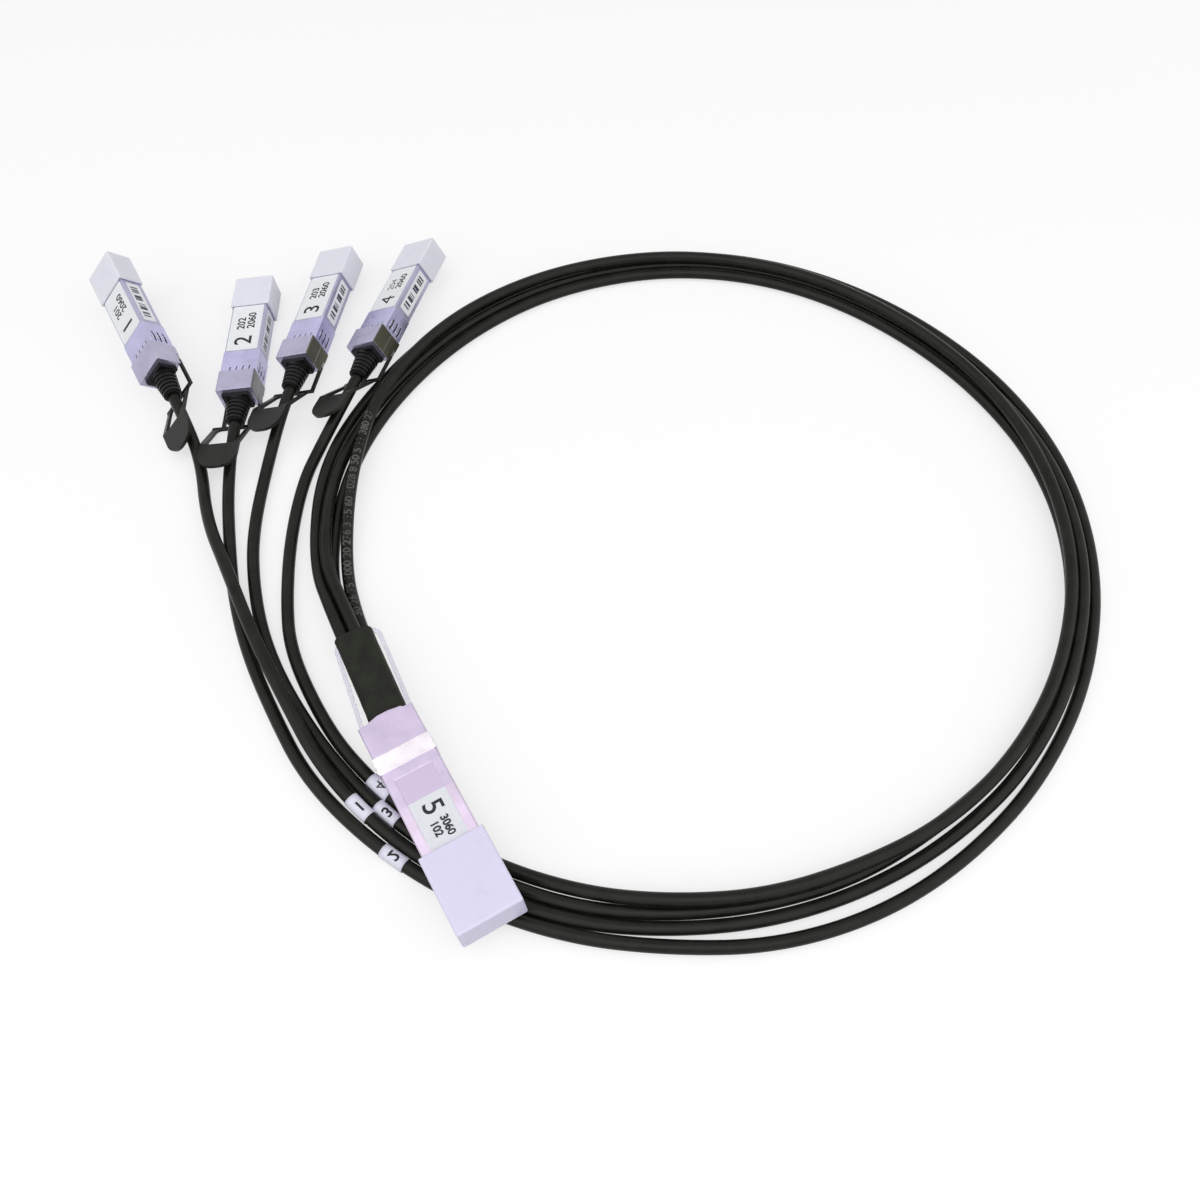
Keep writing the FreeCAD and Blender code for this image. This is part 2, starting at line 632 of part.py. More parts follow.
def wide_bottom_shell(place):
    """Cast lower half: block, tray, board ledges and the side channels for the latch arms."""
    body = new_body("quad_bottom_shell", place)
    side = [("0", "0"), ("wide_block", "0"), ("wide_block", "wide_base"),
            ("wide_length", "wide_base"), ("wide_length", "wide_split"), ("0", "wide_split")]
    tray = extrude(body, "quad_tray", outline(body, "quad_tray_side", "YZ_Plane", [side]),
                   "wide_width", middle=True)
    soften(body, "quad_nose_bevel", tray, "0.5",
           lambda middle, along: abs(along.x) > 0.9 and middle.y > amount("wide_length - 1")
           and middle.z < amount("wide_base + 0.1"), bevel=True)
    inner = "wide_width/2 - wide_wall"
    box(body, "quad_tray_bay", (flip(inner), inner), ("wide_block + 0.8", "wide_length"),
        ("wide_base + wide_floor", "wide_split"), cut=True)
    box(body, "quad_block_bay", ("- wide_bay_half", "wide_bay_half"),
        ("wide_rear_wall", "wide_block + 0.8"), ("wide_neck_low", "wide_split"), cut=True)
    box(body, "quad_neck_way", ("- wide_neck_half", "wide_neck_half"), ("0", "wide_rear_wall"),
        ("wide_neck_low", "wide_split"), cut=True)
    mirrored_boxes(body, "quad_ledge", (inner + " - wide_ledge", inner),
                   ("wide_block + 6", "wide_length - 4"), ("wide_base + wide_floor", "wide_board_low"))
    bed = "wide_width/2 - latch_depth"
    edge = "wide_width/2"
    mirrored_boxes(body, "quad_arm_way", (bed, edge), ("0", "latch_front + 2.5"),
                   ("latch_low - latch_gap*2", "latch_high + latch_gap*2"), cut=True)
    mirrored_boxes(body, "quad_riser_way", (bed, edge), ("0", "latch_plate_front + 0.4"),
                   ("0", "latch_high + latch_gap*2"), cut=True)
    box(body, "quad_plate_way", (flip(edge), edge), ("0", "latch_plate_front + 0.4"),
        ("0", "latch_plate_high + 0.15"), cut=True)
    mirrored_boxes(body, "quad_peg", (bed, bed + " + latch_thick"),
                   ("latch_peg_rear", "latch_peg_front"),
                   ("latch_middle - latch_spring_half", "latch_middle + latch_spring_half"))
    for hand, x in (("right", "wide_screw_x"), ("left", "- wide_screw_x")):
        rod(body, "quad_screw_way_" + hand, (x, "wide_screw_y", "0"), "screw_hole",
            "wide_split", cut=True)
        rod(body, "quad_screw_well_" + hand, (x, "wide_screw_y", "0"), "screw_well",
            "screw_sink", cut=True)
    return body


def wide_top_shell(place):
    """Cast upper half: flat cover with the label's recess and the board stops."""
    body = new_body("quad_top_shell", place)
    side = [("0", "wide_split"), ("wide_length", "wide_split"), ("wide_length", "wide_top"),
            ("0", "wide_top")]
    cover = extrude(body, "quad_cover", outline(body, "quad_cover_side", "YZ_Plane", [side]),
                    "wide_width", middle=True)
    soften(body, "quad_cover_bevel", cover, "0.5",
           lambda middle, along: middle.z > amount("wide_top - 0.1")
           and (abs(along.y) > 0.9 or middle.y > amount("wide_length - 1")), bevel=True)
    inner = "wide_width/2 - wide_wall"
    box(body, "quad_cover_bay", (flip(inner), inner), ("wide_block + 0.8", "wide_length"),
        ("wide_split", "wide_top - wide_roof"), cut=True)
    box(body, "quad_block_bay_top", ("- wide_bay_half", "wide_bay_half"),
        ("wide_rear_wall", "wide_block + 0.8"), ("wide_split", "wide_top - 0.6"), cut=True)
    box(body, "quad_neck_way_top", ("- wide_neck_half", "wide_neck_half"), ("0", "wide_rear_wall"),
        ("wide_split", "wide_top - 0.6"), cut=True)
    lip = [("- wide_neck_half", "0.2"), ("- wide_neck_half + 1", "- lip_reach/2"), ("- 1.5", "- lip_reach"),
           ("2", "- lip_reach"), ("wide_neck_half - 2", "- lip_reach/2"), ("wide_neck_half", "0.2")]
    drawing = outline(body, "quad_lip_plan", "XY_Plane", [lip], "wide_top - lip_thick")
    extrude(body, "quad_lip", drawing, "lip_thick")
    for stop, y in (("rear", "wide_block + 12"), ("front", "wide_length - 10")):
        mirrored_boxes(body, "quad_stop_" + stop, (inner + " - 1.3", inner + " - 0.2"),
                       (y, y + " + 3"), ("wide_board_low + wide_board_thick", "wide_top - wide_roof"))
    box(body, "quad_label_bed", ("- wide_label_half", "wide_label_half"),
        ("wide_label_start", "wide_label_end"), ("wide_top - label_depth", "wide_top"), cut=True)
    for hand, x in (("right", "wide_screw_x"), ("left", "- wide_screw_x")):
        rod(body, "quad_screw_way_top_" + hand, (x, "wide_screw_y", "wide_split"), "screw_hole",
            "wide_screw_tip + 0.2 - wide_split", cut=True)
    return body


def wide_board(place):
    """Wide paddle board with two chips."""
    body = new_body("quad_circuit_board", place)
    half = "wide_width/2 - wide_wall - 0.2"
    nose = "wide_length - 1.4"
    plan = [(flip(half), "wide_block + 1.2"), (half, "wide_block + 1.2"), (half, nose + " - 1"),
            (half + " - 1", nose), (flip(half) + " + 1", nose), (flip(half), nose + " - 1")]
    drawing = outline(body, "quad_board_plan", "XY_Plane", [plan], "wide_board_low")
    extrude(body, "quad_board", drawing, "wide_board_thick")
    for step in range(2):
        y = "wide_block + " + str(9 + 16 * step)
        box(body, "quad_chip_" + str(step), ("- 3", "3"), (y, y + " + 6"),
            ("wide_board_low + wide_board_thick", "wide_board_low + wide_board_thick + 1.1"))
    return body


def wide_band(place):
    """Sheet-metal band behind the block: plain on top, slit into fingers at sides and below."""
    body = new_body("quad_contact_band", place)
    out = "wide_width/2 + collar_thick"
    box(body, "quad_ring", (flip(out), out), ("wide_block + 0.05", "wide_band_end"),
        ("wide_base - collar_thick", "wide_top + collar_thick"))
    for step in range(2):
        y = "wide_block + " + str(1.5 + 2.4 * step)
        mirrored_boxes(body, "quad_crown_" + str(step), ("wide_width/2", out + " + 0.2"),
                       (y, y + " + 1.2"), ("wide_base + 0.8", "wide_top - 0.8"))
    box(body, "quad_ring_bore", ("- wide_width/2", "wide_width/2"), ("wide_block", "wide_band_end"),
        ("wide_base", "wide_top"), cut=True)
    for step in range(4):
        z = "wide_base + 1.5 + collar_slit*" + str(3 * step)
        mirrored_boxes(body, "quad_slit_side_" + str(step), ("wide_width/2", "wide_width/2 + 1"),
                       ("wide_block + 0.8", "wide_band_end - 0.8"), (z, z + " + collar_slit"),
                       cut=True)
    for step in range(6):
        x = "collar_slit*" + str(6 * step) + " - collar_slit*15.5"
        box(body, "quad_slit_under_" + str(step), (x, x + " + collar_slit"),
            ("wide_block + 0.8", "wide_band_end - 0.8"), ("wide_base - 1", "wide_base"), cut=True)
    return body


def wide_slider(place):
    """Latch slider: a plate under the block, risers and a long arm along each side."""
    body = new_body("quad_latch_slider", place)
    inner = "wide_width/2 - latch_depth + latch_gap"
    outer = inner + " + latch_thick"
    box(body, "quad_plate", (flip(outer), outer), ("latch_rear", "latch_plate_front"),
        ("latch_plate_low", "latch_plate_high"))
    mirrored_boxes(body, "quad_riser", (inner, outer), ("latch_rear", "latch_plate_front"),
                   ("latch_plate_low", "latch_high"))
    mirrored_boxes(body, "quad_arm", (inner, outer), ("latch_rear", "latch_front"),
                   ("latch_low", "latch_high"))
    mirrored_boxes(body, "quad_spring_window", (inner, outer),
                   ("latch_peg_rear - latch_gap*2", "latch_spring_front"),
                   ("latch_middle - latch_window_half", "latch_middle + latch_window_half"), cut=True)
    mirrored_boxes(body, "quad_arm_hole", (inner, outer), ("latch_front - 3.4", "latch_front - 1.2"),
                   ("latch_middle - 0.8", "latch_middle + 0.8"), cut=True)
    return body


def wide_tab(place):
    """Pale pull loop: two flat straps from the slider, joined beneath the cables."""
    body = new_body("quad_pull_tab", place)
    front = "latch_rear"
    left = "loop_half - loop_shift - 1.4"
    right = "- loop_half - loop_shift"
    outer = [("loop_half", front), ("loop_half", "- 2"), (left, "- loop_bulb"), (left, "- loop_rear"),
             (right, "- loop_rear"), (right, "- loop_bulb"), ("- loop_half", "- 2"),
             ("- loop_half", front), ("- loop_half + loop_strap", front),
             ("- loop_half + loop_strap", "- 2"), (right + " + loop_strap", "- loop_bulb"),
             (right + " + loop_strap", "- loop_rear + loop_strap"),
             (left + " - loop_strap", "- loop_rear + loop_strap"),
             (left + " - loop_strap", "- loop_bulb"), ("loop_half - loop_strap", "- 2"),
             ("loop_half - loop_strap", front)]
    drawing = outline(body, "quad_loop_plan", "XY_Plane", [outer], "- loop_drop - 1")
    blank = extrude(body, "quad_loop_blank", drawing, "loop_drop + 4")
    blank = soften(body, "quad_loop_round", blank, "loop_corner",
                   lambda middle, along: abs(along.z) > 0.9 and middle.y < amount("- loop_rear + 0.1"))
    soften(body, "quad_loop_round_in", blank, "loop_corner - loop_strap",
           lambda middle, along: abs(along.z) > 0.9
           and abs(middle.y - amount("- loop_rear + loop_strap")) < 0.1)
    under = [("- loop_rear - 3", "- loop_drop - 3"), ("latch_rear + 1", "- loop_drop - 3"),
             ("latch_rear + 1", "latch_plate_low"), ("- 2", "latch_plate_low"),
             ("- loop_rear", "- loop_drop"), ("- loop_rear - 3", "- loop_drop")]
    extrude(body, "quad_loop_under", outline(body, "quad_loop_under_side", "YZ_Plane", [under]),
            "loop_half*4", middle=True, cut=True)
    over = [("- loop_rear - 3", "6"), ("latch_rear + 1", "6"),
            ("latch_rear + 1", "latch_plate_low + loop_thick"),
            ("- 2", "latch_plate_low + loop_thick"), ("- loop_rear", "- loop_drop + loop_thick"),
            ("- loop_rear - 3", "- loop_drop + loop_thick")]
    extrude(body, "quad_loop_over", outline(body, "quad_loop_over_side", "YZ_Plane", [over]),
            "loop_half*4", middle=True, cut=True)
    return body


def wide_springs(place):
    """A flat return spring in each arm's window."""
    pair = []
    depth = "wide_width/2 - latch_depth + latch_gap"
    for hand, level in (("right", depth), ("left", flip(depth) + " - latch_thick + 0.1")):
        body = doc.addObject("PartDesign::Body", "quad_spring_" + hand)
        folds = "quad_folds_" + hand
        low = "latch_middle - latch_spring_half"
        corners = spring_corners(low, "latch_middle + latch_spring_half")
        drawing = outline(body, folds + "_outline", "YZ_Plane", [corners], level)
        extrude(body, folds, drawing, "latch_thick - 0.1")
        pair.append(body)
    return group("quad_latch_springs", pair, place)


def spring_corners(low, high):
    """Corners of an upright folded spring of seven rows."""
    def at(step, level, extra=False):
        text = "latch_peg_front + latch_spring_pitch*" + str(step) + (" + wire" if extra else "")
        return text, level

    corners = [at(0, low)]
    for step in range(0, 6, 2):
        corners += [at(step + 1, low, True), at(step + 1, high + " - wire", True)]
        corners += [at(step + 2, high + " - wire"), at(step + 2, low)]
    corners += [at(6, low, True), at(6, high, True)]
    for step in range(5, 0, -2):
        corners += [at(step, high), at(step, low + " + wire")]
        corners += [at(step - 1, low + " + wire", True), at(step - 1, high, True)]
    corners.append(at(0, high))
    return corners


def wide_cap(place):
    """Translucent dust cap of the wide plug."""
    body = new_body("quad_dust_cap", place)
    inner = "wide_width/2 + cap_gap"
    outer = inner + " + wide_cap_wall"
    low = "wide_base - cap_gap"
    high = "wide_top + cap_gap"
    shell = box(body, "quad_cap_block", (flip(outer), outer), ("wide_cap_start", "wide_cap_end"),
                (low + " - wide_cap_wall", high + " + wide_cap_wall"))
    soften(body, "quad_cap_round", shell, "0.7",
           lambda middle, along: middle.y > amount("wide_cap_end - 0.1") or abs(along.y) > 0.9)
    box(body, "quad_cap_bay", (flip(inner), inner), ("wide_cap_start", "wide_cap_end - 1"),
        (low, high), cut=True)
    return body


def wide_clamp(place):
    """Grooved clamp block that grips the four cables inside the wide plug."""
    body = new_body("quad_cable_clamp", place)
    box(body, "quad_clamp_bar", ("- wide_bay_half + 0.1", "wide_bay_half - 0.1"),
        ("clamp_rear", "clamp_rear + clamp_long"), ("wide_neck_low + 0.8", "wide_top - 1.5"))
    for name, (across, pair) in LANES.items():
        lift = "sheath_middle + lane_rise" if pair > 0 else "sheath_middle - lane_rise"
        rod(body, "quad_groove_" + name, (across + " + lane_shift", "0", lift),
            "cable_diameter/2", "10", along="Y", cut=True)
    return body


# Lane of each cable across the sheath, and whether it runs in the upper or lower pair
LANES = {
    "leg2": ("lane_far", 1),
    "leg1": ("- lane_near", 1),
    "leg3": ("lane_near", -1),
    "leg4": ("- lane_far", -1),
}

# Free run of each cable over the table, from the sheath's mouth to its boot
ROUTES = {
    "leg2": [
        (-98.8, 232.2, 2.4), (-101.1, 274.3, 2.2), (-87.2, 310.7, 2.2), (-61.7, 346.1, 2.2),
        (-26.6, 372.0, 2.2), (14.5, 385.1, 2.2), (53.3, 384.9, 2.2), (89.8, 373.3, 2.2),
        (124.2, 350.0, 2.2), (152.6, 316.6, 2.2), (169.3, 275.7, 2.2), (170.7, 229.6, 2.2),
        (158.1, 186.5, 2.2), (136.1, 151.5, 2.2), (109.3, 126.1, 2.2), (81.0, 109.0, 2.2),
        (50.1, 100.0, 2.2), (19.4, 98.0, 2.2), (-9.8, 101.9, 2.2), (-39.9, 112.1, 2.6),
        (-66.6, 128.1, 2.8), (-90.0, 150.9, 2.3), (-104.9, 175.5, 2.2), (-116.3, 197.6, 2.2),
        (-124.2, 219.5, 2.2), (-129.3, 241.9, 2.2),
    ],
    "leg1": [
        (-95.1, 231.9, 6.9), (-96.3, 272.4, 3.0), (-83.2, 307.8, 2.2), (-58.6, 342.1, 2.2),
        (-24.8, 367.5, 2.2), (15.1, 380.3, 2.2), (52.7, 380.1, 2.2), (88.1, 368.8, 2.2),
        (121.1, 345.7, 2.2), (148.5, 313.3, 3.2), (165.1, 274.0, 5.4), (167.0, 229.4, 6.0),
        (154.4, 187.5, 5.7), (132.1, 154.2, 3.4), (105.1, 131.5, 2.2), (78.2, 115.7, 2.2),
        (49.2, 106.9, 2.2), (20.0, 103.8, 2.2), (-8.2, 106.4, 2.2), (-37.1, 116.3, 2.6),
        (-62.9, 131.5, 2.9), (-85.4, 153.5, 5.5), (-100.2, 177.6, 7.1), (-113.6, 200.4, 7.2),
        (-126.1, 226.0, 7.1), (-138.3, 249.8, 3.6),
    ],
    "leg3": [
        (-93.2, 231.7, 2.2), (-91.7, 270.6, 2.2), (-79.2, 304.8, 2.2), (-55.5, 338.0, 2.2),
        (-23.0, 363.0, 2.2), (15.7, 375.6, 2.2), (52.2, 375.4, 2.2), (86.5, 364.3, 2.2),
        (118.3, 341.6, 2.2), (144.5, 310.1, 2.2), (161.0, 272.3, 2.2), (163.1, 229.2, 2.2),
        (150.6, 188.6, 2.2), (128.0, 157.1, 2.2), (101.6, 135.9, 2.2), (76.2, 120.5, 2.2),
        (48.5, 112.0, 2.2), (20.7, 109.1, 2.2), (-6.5, 110.9, 2.2), (-34.3, 120.3, 2.6),
        (-59.3, 134.9, 2.8), (-81.5, 155.7, 2.3), (-98.6, 178.4, 2.2), (-110.4, 199.6, 2.2),
        (-117.5, 221.1, 2.2), (-121.7, 245.3, 2.2),
    ],
    "leg4": [
        (-87.6, 231.3, 3.0), (-89.1, 269.7, 6.9), (-83.0, 307.6, 7.0), (-60.2, 344.1, 7.0),
        (-25.3, 368.8, 7.0), (15.1, 380.3, 7.0), (52.6, 379.2, 7.0), (87.7, 367.6, 7.0),
        (119.9, 343.9, 7.0), (145.7, 311.1, 7.1), (159.9, 271.9, 7.2), (161.3, 229.0, 7.1),
        (148.9, 189.0, 7.0), (128.0, 157.1, 7.0), (102.4, 134.9, 7.0), (75.6, 121.8, 7.0),
        (48.3, 113.3, 7.0), (21.0, 111.5, 7.0), (-4.8, 115.7, 3.0), (-31.5, 124.5, 2.7),
        (-55.3, 138.5, 2.8), (-77.6, 157.9, 2.4), (-89.9, 174.8, 2.2), (-101.9, 197.6, 2.2),
        (-105.8, 217.1, 2.2), (-108.0, 241.9, 2.2), (-106.9, 267.5, 2.2),
    ],
}

# Last point on the table before each boot: place across and behind in the plug's frame, and height
LANDINGS = {
    "leg1": (-2.2, -39.0, 3.2),
    "leg2": (0.3, -40.5, 2.2),
    "leg3": (-0.6, -41.0, 2.2),
    "leg4": (-4.0, -41.5, 2.3),
}

# Distance of each marker from the wide plug, along its cable
MARKERS = {"leg1": 833.8, "leg2": 844.2, "leg3": 799.4, "leg4": 811.0}


def sheath_place():
    """Frame of the sheath: it leaves the wide plug a little turned and dipping."""
    middle = Vector(0, 0, SIZES["sheath_middle"])
    turn = Rotation(Vector(0, 0, 1), SIZES["sheath_turn"])
    turn = turn * Rotation(Vector(1, 0, 0), SIZES["sheath_dip"])
    return plug_place("quad") * Placement(middle, turn)


def full_route(leg):
    """Every point of one cable, from the clamp to the inside of its plug."""
    across, pair = LANES[leg]
    x = amount(across)
    rise = pair * SIZES["lane_rise"]
    spread = pair * (SIZES["lane_rise"] + SIZES["lane_spread"])
    plug = plug_place(leg)
    sheath = sheath_place()
    middle = SIZES["sheath_middle"]
    start = plug_place("quad").multVec(Vector(x + SIZES["lane_shift"], 4.8, middle + rise))
    points = [start, sheath.multVec(Vector(x - 0.45, -20, rise)),
              sheath.multVec(Vector(x + 0.3, -45, spread))]
    points += [Vector(*point) for point in ROUTES[leg]]
    across, behind, height = LANDINGS[leg]
    landing = plug.multVec(Vector(across, behind, 4.6))
    points.append(Vector(landing.x, landing.y, height))
    points.append(plug.multVec(Vector(0, -19.0, SIZES["cable_height"])))
    points.append(plug.multVec(Vector(0, 2.5, SIZES["cable_height"])))
    return points


def rounded_path(points):
    """Straight runs joined by tangent arcs: the wire, its arc radii and its length."""
    edges = []
    radii = []
    start = points[0]
    for before, corner, after in zip(points, points[1:], points[2:]):
        back = before - corner
        ahead = after - corner
        reach = 0.45 * min(back.Length, ahead.Length)
        back.normalize()
        ahead.normalize()
        half_turn = (math.pi - back.getAngle(ahead)) / 2
        radius = reach / math.tan(half_turn)
        inward = (back + ahead).normalize()
        middle = corner + inward * (radius / math.cos(half_turn) - radius)
        enter = corner + back * reach
        leave = corner + ahead * reach
        edges.append(Part.LineSegment(start, enter).toShape())
        edges.append(Part.Arc(enter, middle, leave).toShape())
        radii.append(radius)
        start = leave
    edges.append(Part.LineSegment(start, points[-1]).toShape())
    wire = Part.Wire(edges)
    return wire, radii, wire.Length


def solid_piece(label, shape):
    """Hand over a shape that is already in the table's frame."""
    piece = doc.addObject("Part::Feature", label)
    piece.Label = label
    piece.Shape = shape
    PIECES.append((piece, Placement()))
    return piece


def tube_along(wire, points, radius):
    """Sweep a round section along a wire."""
    heading = (points[1] - points[0]).normalize()
    ring = Part.Wire([Part.makeCircle(radius, points[0], heading)])
    return wire.makePipeShell([ring], True, False)


def cable(leg):
    """One jacketed cable from the wide plug's clamp into its own plug."""
    points = full_route(leg)
    wire, radii, length = rounded_path(points)
    radius = SIZES["cable_diameter"] / 2
    tube = tube_along(wire, points, radius)
    expected = math.pi * radius ** 2 * length
    print(leg, "cable length %.1f, smallest radius %.1f, volume ratio %.4f"
          % (length, min(radii), tube.Volume / expected))
    solid_piece(leg + "_cable", tube)
    CORDS.append(leg + "_cable")
    marker(leg, wire)
    return points


def marker(leg, wire):
    """White wrap folded round the cable near the wide plug."""
    left = MARKERS[leg]
    for edge in wire.OrderedEdges:
        if left > edge.Length:
            left -= edge.Length
            continue
        spot = edge.getParameterByLength(left)
        middle = edge.valueAt(spot)
        along = edge.tangentAt(spot)
        break
    inner = SIZES["cable_diameter"] / 2 + SIZES["wrap_gap"]
    start = middle - along * (SIZES["wrap_length"] / 2)
    outside = Part.makeCylinder(inner + SIZES["wrap_thick"], SIZES["wrap_length"], start, along)
    inside = Part.makeCylinder(inner, SIZES["wrap_length"], start, along)
    solid_piece(leg + "_marker_wrap", outside.cut(inside))
    CORDS.append(leg + "_marker_wrap")


def oval(width, height, corner, place):
    """A rounded rectangle across the sheath's frame."""
    across = width / 2 - corner
    up = height / 2 - corner
    edges = []
    centres = [(across, up, 0), (-across, up, 90), (-across, -up, 180), (across, -up, 270)]
    for step, (x, z, angle) in enumerate(centres):
        spots = [math.radians(angle + part) for part in (0, 45, 90)]
        arc = [Vector(x + corner * math.cos(spot), 0, z + corner * math.sin(spot)) for spot in spots]
        edges.append(Part.Arc(*arc).toShape())
        x, z, angle = centres[(step + 1) % 4]
        spot = math.radians(angle)
        ahead = Vector(x + corner * math.cos(spot), 0, z + corner * math.sin(spot))
        edges.append(Part.LineSegment(arc[-1], ahead).toShape())
    wire = Part.Wire(edges)
    wire.Placement = place
    return wire


def sheath():
    """Shrunk sleeve: wide at the plug, closed in round the cables at its mouth."""
    plug = plug_place("quad")
    frame = sheath_place()
    reach = SIZES["sheath_length"]
    snug = 2 * amount("lane_far + cable_diameter/2 + sheath_play + sheath_wall")
    stations = [(0.0, -1.03, snug + 0.2, 9.1), (0.3, -0.73, snug, 9.5), (0.62, -0.4, snug, 9.7),
                (0.9, -0.1, snug, 9.9), (1.0, 0.0, snug + 0.3, 10.1)]
    walls = []
    for thin in (0.0, SIZES["sheath_wall"]):
        rings = []
        for part, bow, width, height in stations:
            if part == 0:
                place = plug * Placement(Vector(bow, 0, SIZES["sheath_middle"]), Rotation())
            else:
                place = frame * Placement(Vector(bow, -reach * part, 0), Rotation())
            corner = SIZES["sheath_corner"] - thin
            rings.append(oval(width - 2 * thin, height - 2 * thin, corner, place))
        walls.append(Part.makeLoft(rings, True, False))
    solid_piece("quad_sheath", walls[0].cut(walls[1]))


def wide_label(place):
    """Paper label in the top recess of the wide plug."""
    body = new_body("quad_label", place)
    half = "wide_label_half - 0.2"
    box(body, "quad_paper", (flip(half), half), ("wide_label_start + 0.2", "wide_label_end - 0.2"),
        ("wide_top - label_depth", "wide_top - label_depth + label_thick"))
    return body


# Build every piece
quad_place = plug_place("quad")
for build in (wide_bottom_shell, wide_top_shell, wide_board, wide_band, wide_slider, wide_tab,
              wide_springs, wide_cap, wide_clamp, wide_label):
    build(quad_place)
screws = [screw("quad_screw_" + hand, x, "wide_screw_y", "0.1", "screw_sink", "wide_screw_tip")
          for hand, x in (("right", "wide_screw_x"), ("left", "- wide_screw_x"))]
group("quad_screws", screws, quad_place)
sheath()
routes = {}
for leg in ("leg1", "leg2", "leg3", "leg4"):
    leg_place = plug_place(leg)
    for build in (plug_bottom_shell, plug_top_shell, plug_board, plug_collar, plug_slider,
                  plug_tab, plug_spring, plug_boot, plug_cap, plug_screws):
        build(leg, leg_place)
    routes[leg] = cable(leg)
doc.recompute()

# Put every piece in its place, then centre the plugs over the origin with the table at zero
for piece, place in PIECES:
    piece.Placement = place
doc.recompute()
plugs = FreeCAD.BoundBox()
for piece, place in PIECES:
    if piece.Label not in CORDS:
        plugs.add(piece.Shape.BoundBox)
shift = Vector(-plugs.Center.x, -plugs.Center.y, -plugs.ZMin)
for piece, place in PIECES:
    piece.Placement = Placement(shift, Rotation()) * place
doc.recompute()
print("plugs span %.2f by %.2f by %.2f, moved by %.3f %.3f %.3f"
      % (plugs.XLength, plugs.YLength, plugs.ZLength, shift.x, shift.y, shift.z))
for leg, points in routes.items():
    print(leg, [tuple(round(value, 2) for value in point + shift) for point in points])

# Check each object, then write one file for each piece
for item in doc.Objects:
    if "Invalid" in item.State or "Error" in item.State:
        raise ValueError(item.Label + " did not build: " + item.getStatusString())
os.makedirs("parts", exist_ok=True)
for piece, place in PIECES:
    shape = piece.Shape
    if shape.isNull() or not shape.isValid() or shape.Volume < 0.01:
        raise ValueError(piece.Label + " has no sound shape")
    shape.exportStep("parts/" + piece.Label + ".step")
print(len(PIECES), "pieces written")
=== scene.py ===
"""Looks of a breakout copper cable: one wide plug, four thin cables, four narrow plugs."""

import logging
import math
from dataclasses import dataclass, field
from enum import Enum
from typing import Iterable, Sequence

import bpy
from mathutils import Euler, Matrix, Vector, noise


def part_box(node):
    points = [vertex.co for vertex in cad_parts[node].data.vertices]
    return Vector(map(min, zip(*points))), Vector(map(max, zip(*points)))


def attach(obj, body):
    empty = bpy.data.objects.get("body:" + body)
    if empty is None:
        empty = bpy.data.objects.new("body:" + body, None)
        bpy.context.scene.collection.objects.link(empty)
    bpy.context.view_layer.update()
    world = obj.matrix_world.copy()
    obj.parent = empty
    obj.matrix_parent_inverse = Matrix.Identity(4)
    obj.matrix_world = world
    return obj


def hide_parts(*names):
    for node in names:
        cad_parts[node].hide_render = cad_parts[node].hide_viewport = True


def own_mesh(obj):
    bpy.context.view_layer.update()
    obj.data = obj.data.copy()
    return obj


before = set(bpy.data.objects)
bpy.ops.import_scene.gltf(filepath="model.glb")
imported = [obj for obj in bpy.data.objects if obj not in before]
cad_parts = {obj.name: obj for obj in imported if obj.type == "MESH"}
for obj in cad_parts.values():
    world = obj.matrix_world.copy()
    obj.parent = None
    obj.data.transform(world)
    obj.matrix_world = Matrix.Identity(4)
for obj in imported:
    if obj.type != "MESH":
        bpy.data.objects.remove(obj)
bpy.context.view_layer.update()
LOG = logging.getLogger("breakout_cable")
MM = 0.001
ROOT = "assembly"
INK_THICKNESS = 0.01 * MM

Colour = tuple[float, float, float]
Point = tuple[float, float, float]
Socket = bpy.types.NodeSocket
Node = bpy.types.Node
Material = bpy.types.Material
Piece = bpy.types.Object
Shade = Colour | Socket


class Plug(Enum):
    """The five plugs, by the first word of their nodes' names."""

    QUAD = "quad"
    LEG1 = "leg1"
    LEG2 = "leg2"
    LEG3 = "leg3"
    LEG4 = "leg4"


LEGS = (Plug.LEG1, Plug.LEG2, Plug.LEG3, Plug.LEG4)


@dataclass(frozen=True)
class Seat:
    """Where a plug lies: its rear underside point in millimetres and its three angles in degrees."""

    x: float
    y: float
    z: float
    heading: float
    nose_up: float
    roll: float

    def matrix(self) -> Matrix:
        """Matrix from the plug's own frame, in metres, to the table's frame."""
        turn = Matrix.Rotation(math.radians(-self.heading), 4, "Z")
        turn = turn @ Matrix.Rotation(math.radians(self.nose_up), 4, "X")
        turn = turn @ Matrix.Rotation(math.radians(-self.roll), 4, "Y")
        return Matrix.Translation(Vector((self.x, self.y, self.z)) * MM) @ turn

    def at(self, spot: Point) -> Matrix:
        """Matrix to a spot given in millimetres in the plug's own frame."""
        return self.matrix() @ Matrix.Translation(Vector(spot) * MM)


SEATS: dict[Plug, Seat] = {
    Plug.QUAD: Seat(45.26, -73.232, 3.3, 150.7, 2.5, -4.0),
    Plug.LEG1: Seat(-49.64, 72.168, 7.942, -29.8, 4.0, 45.0),
    Plug.LEG2: Seat(-23.64, 62.668, 1.064, -1.7, 0.0, 6.7),
    Plug.LEG3: Seat(-1.74, 77.268, 3.365, 9.0, 0.0, 19.7),
    Plug.LEG4: Seat(25.06, 81.468, 4.798, 16.4, 0.0, 28.3),
}


# Node graphs


def scaled(colour: Colour, gain: float, lift: float = 0.0) -> Colour:
    """A linear colour times a gain, and lifted, with no channel above 1."""
    return tuple(min(1.0, channel * gain + lift) for channel in colour)


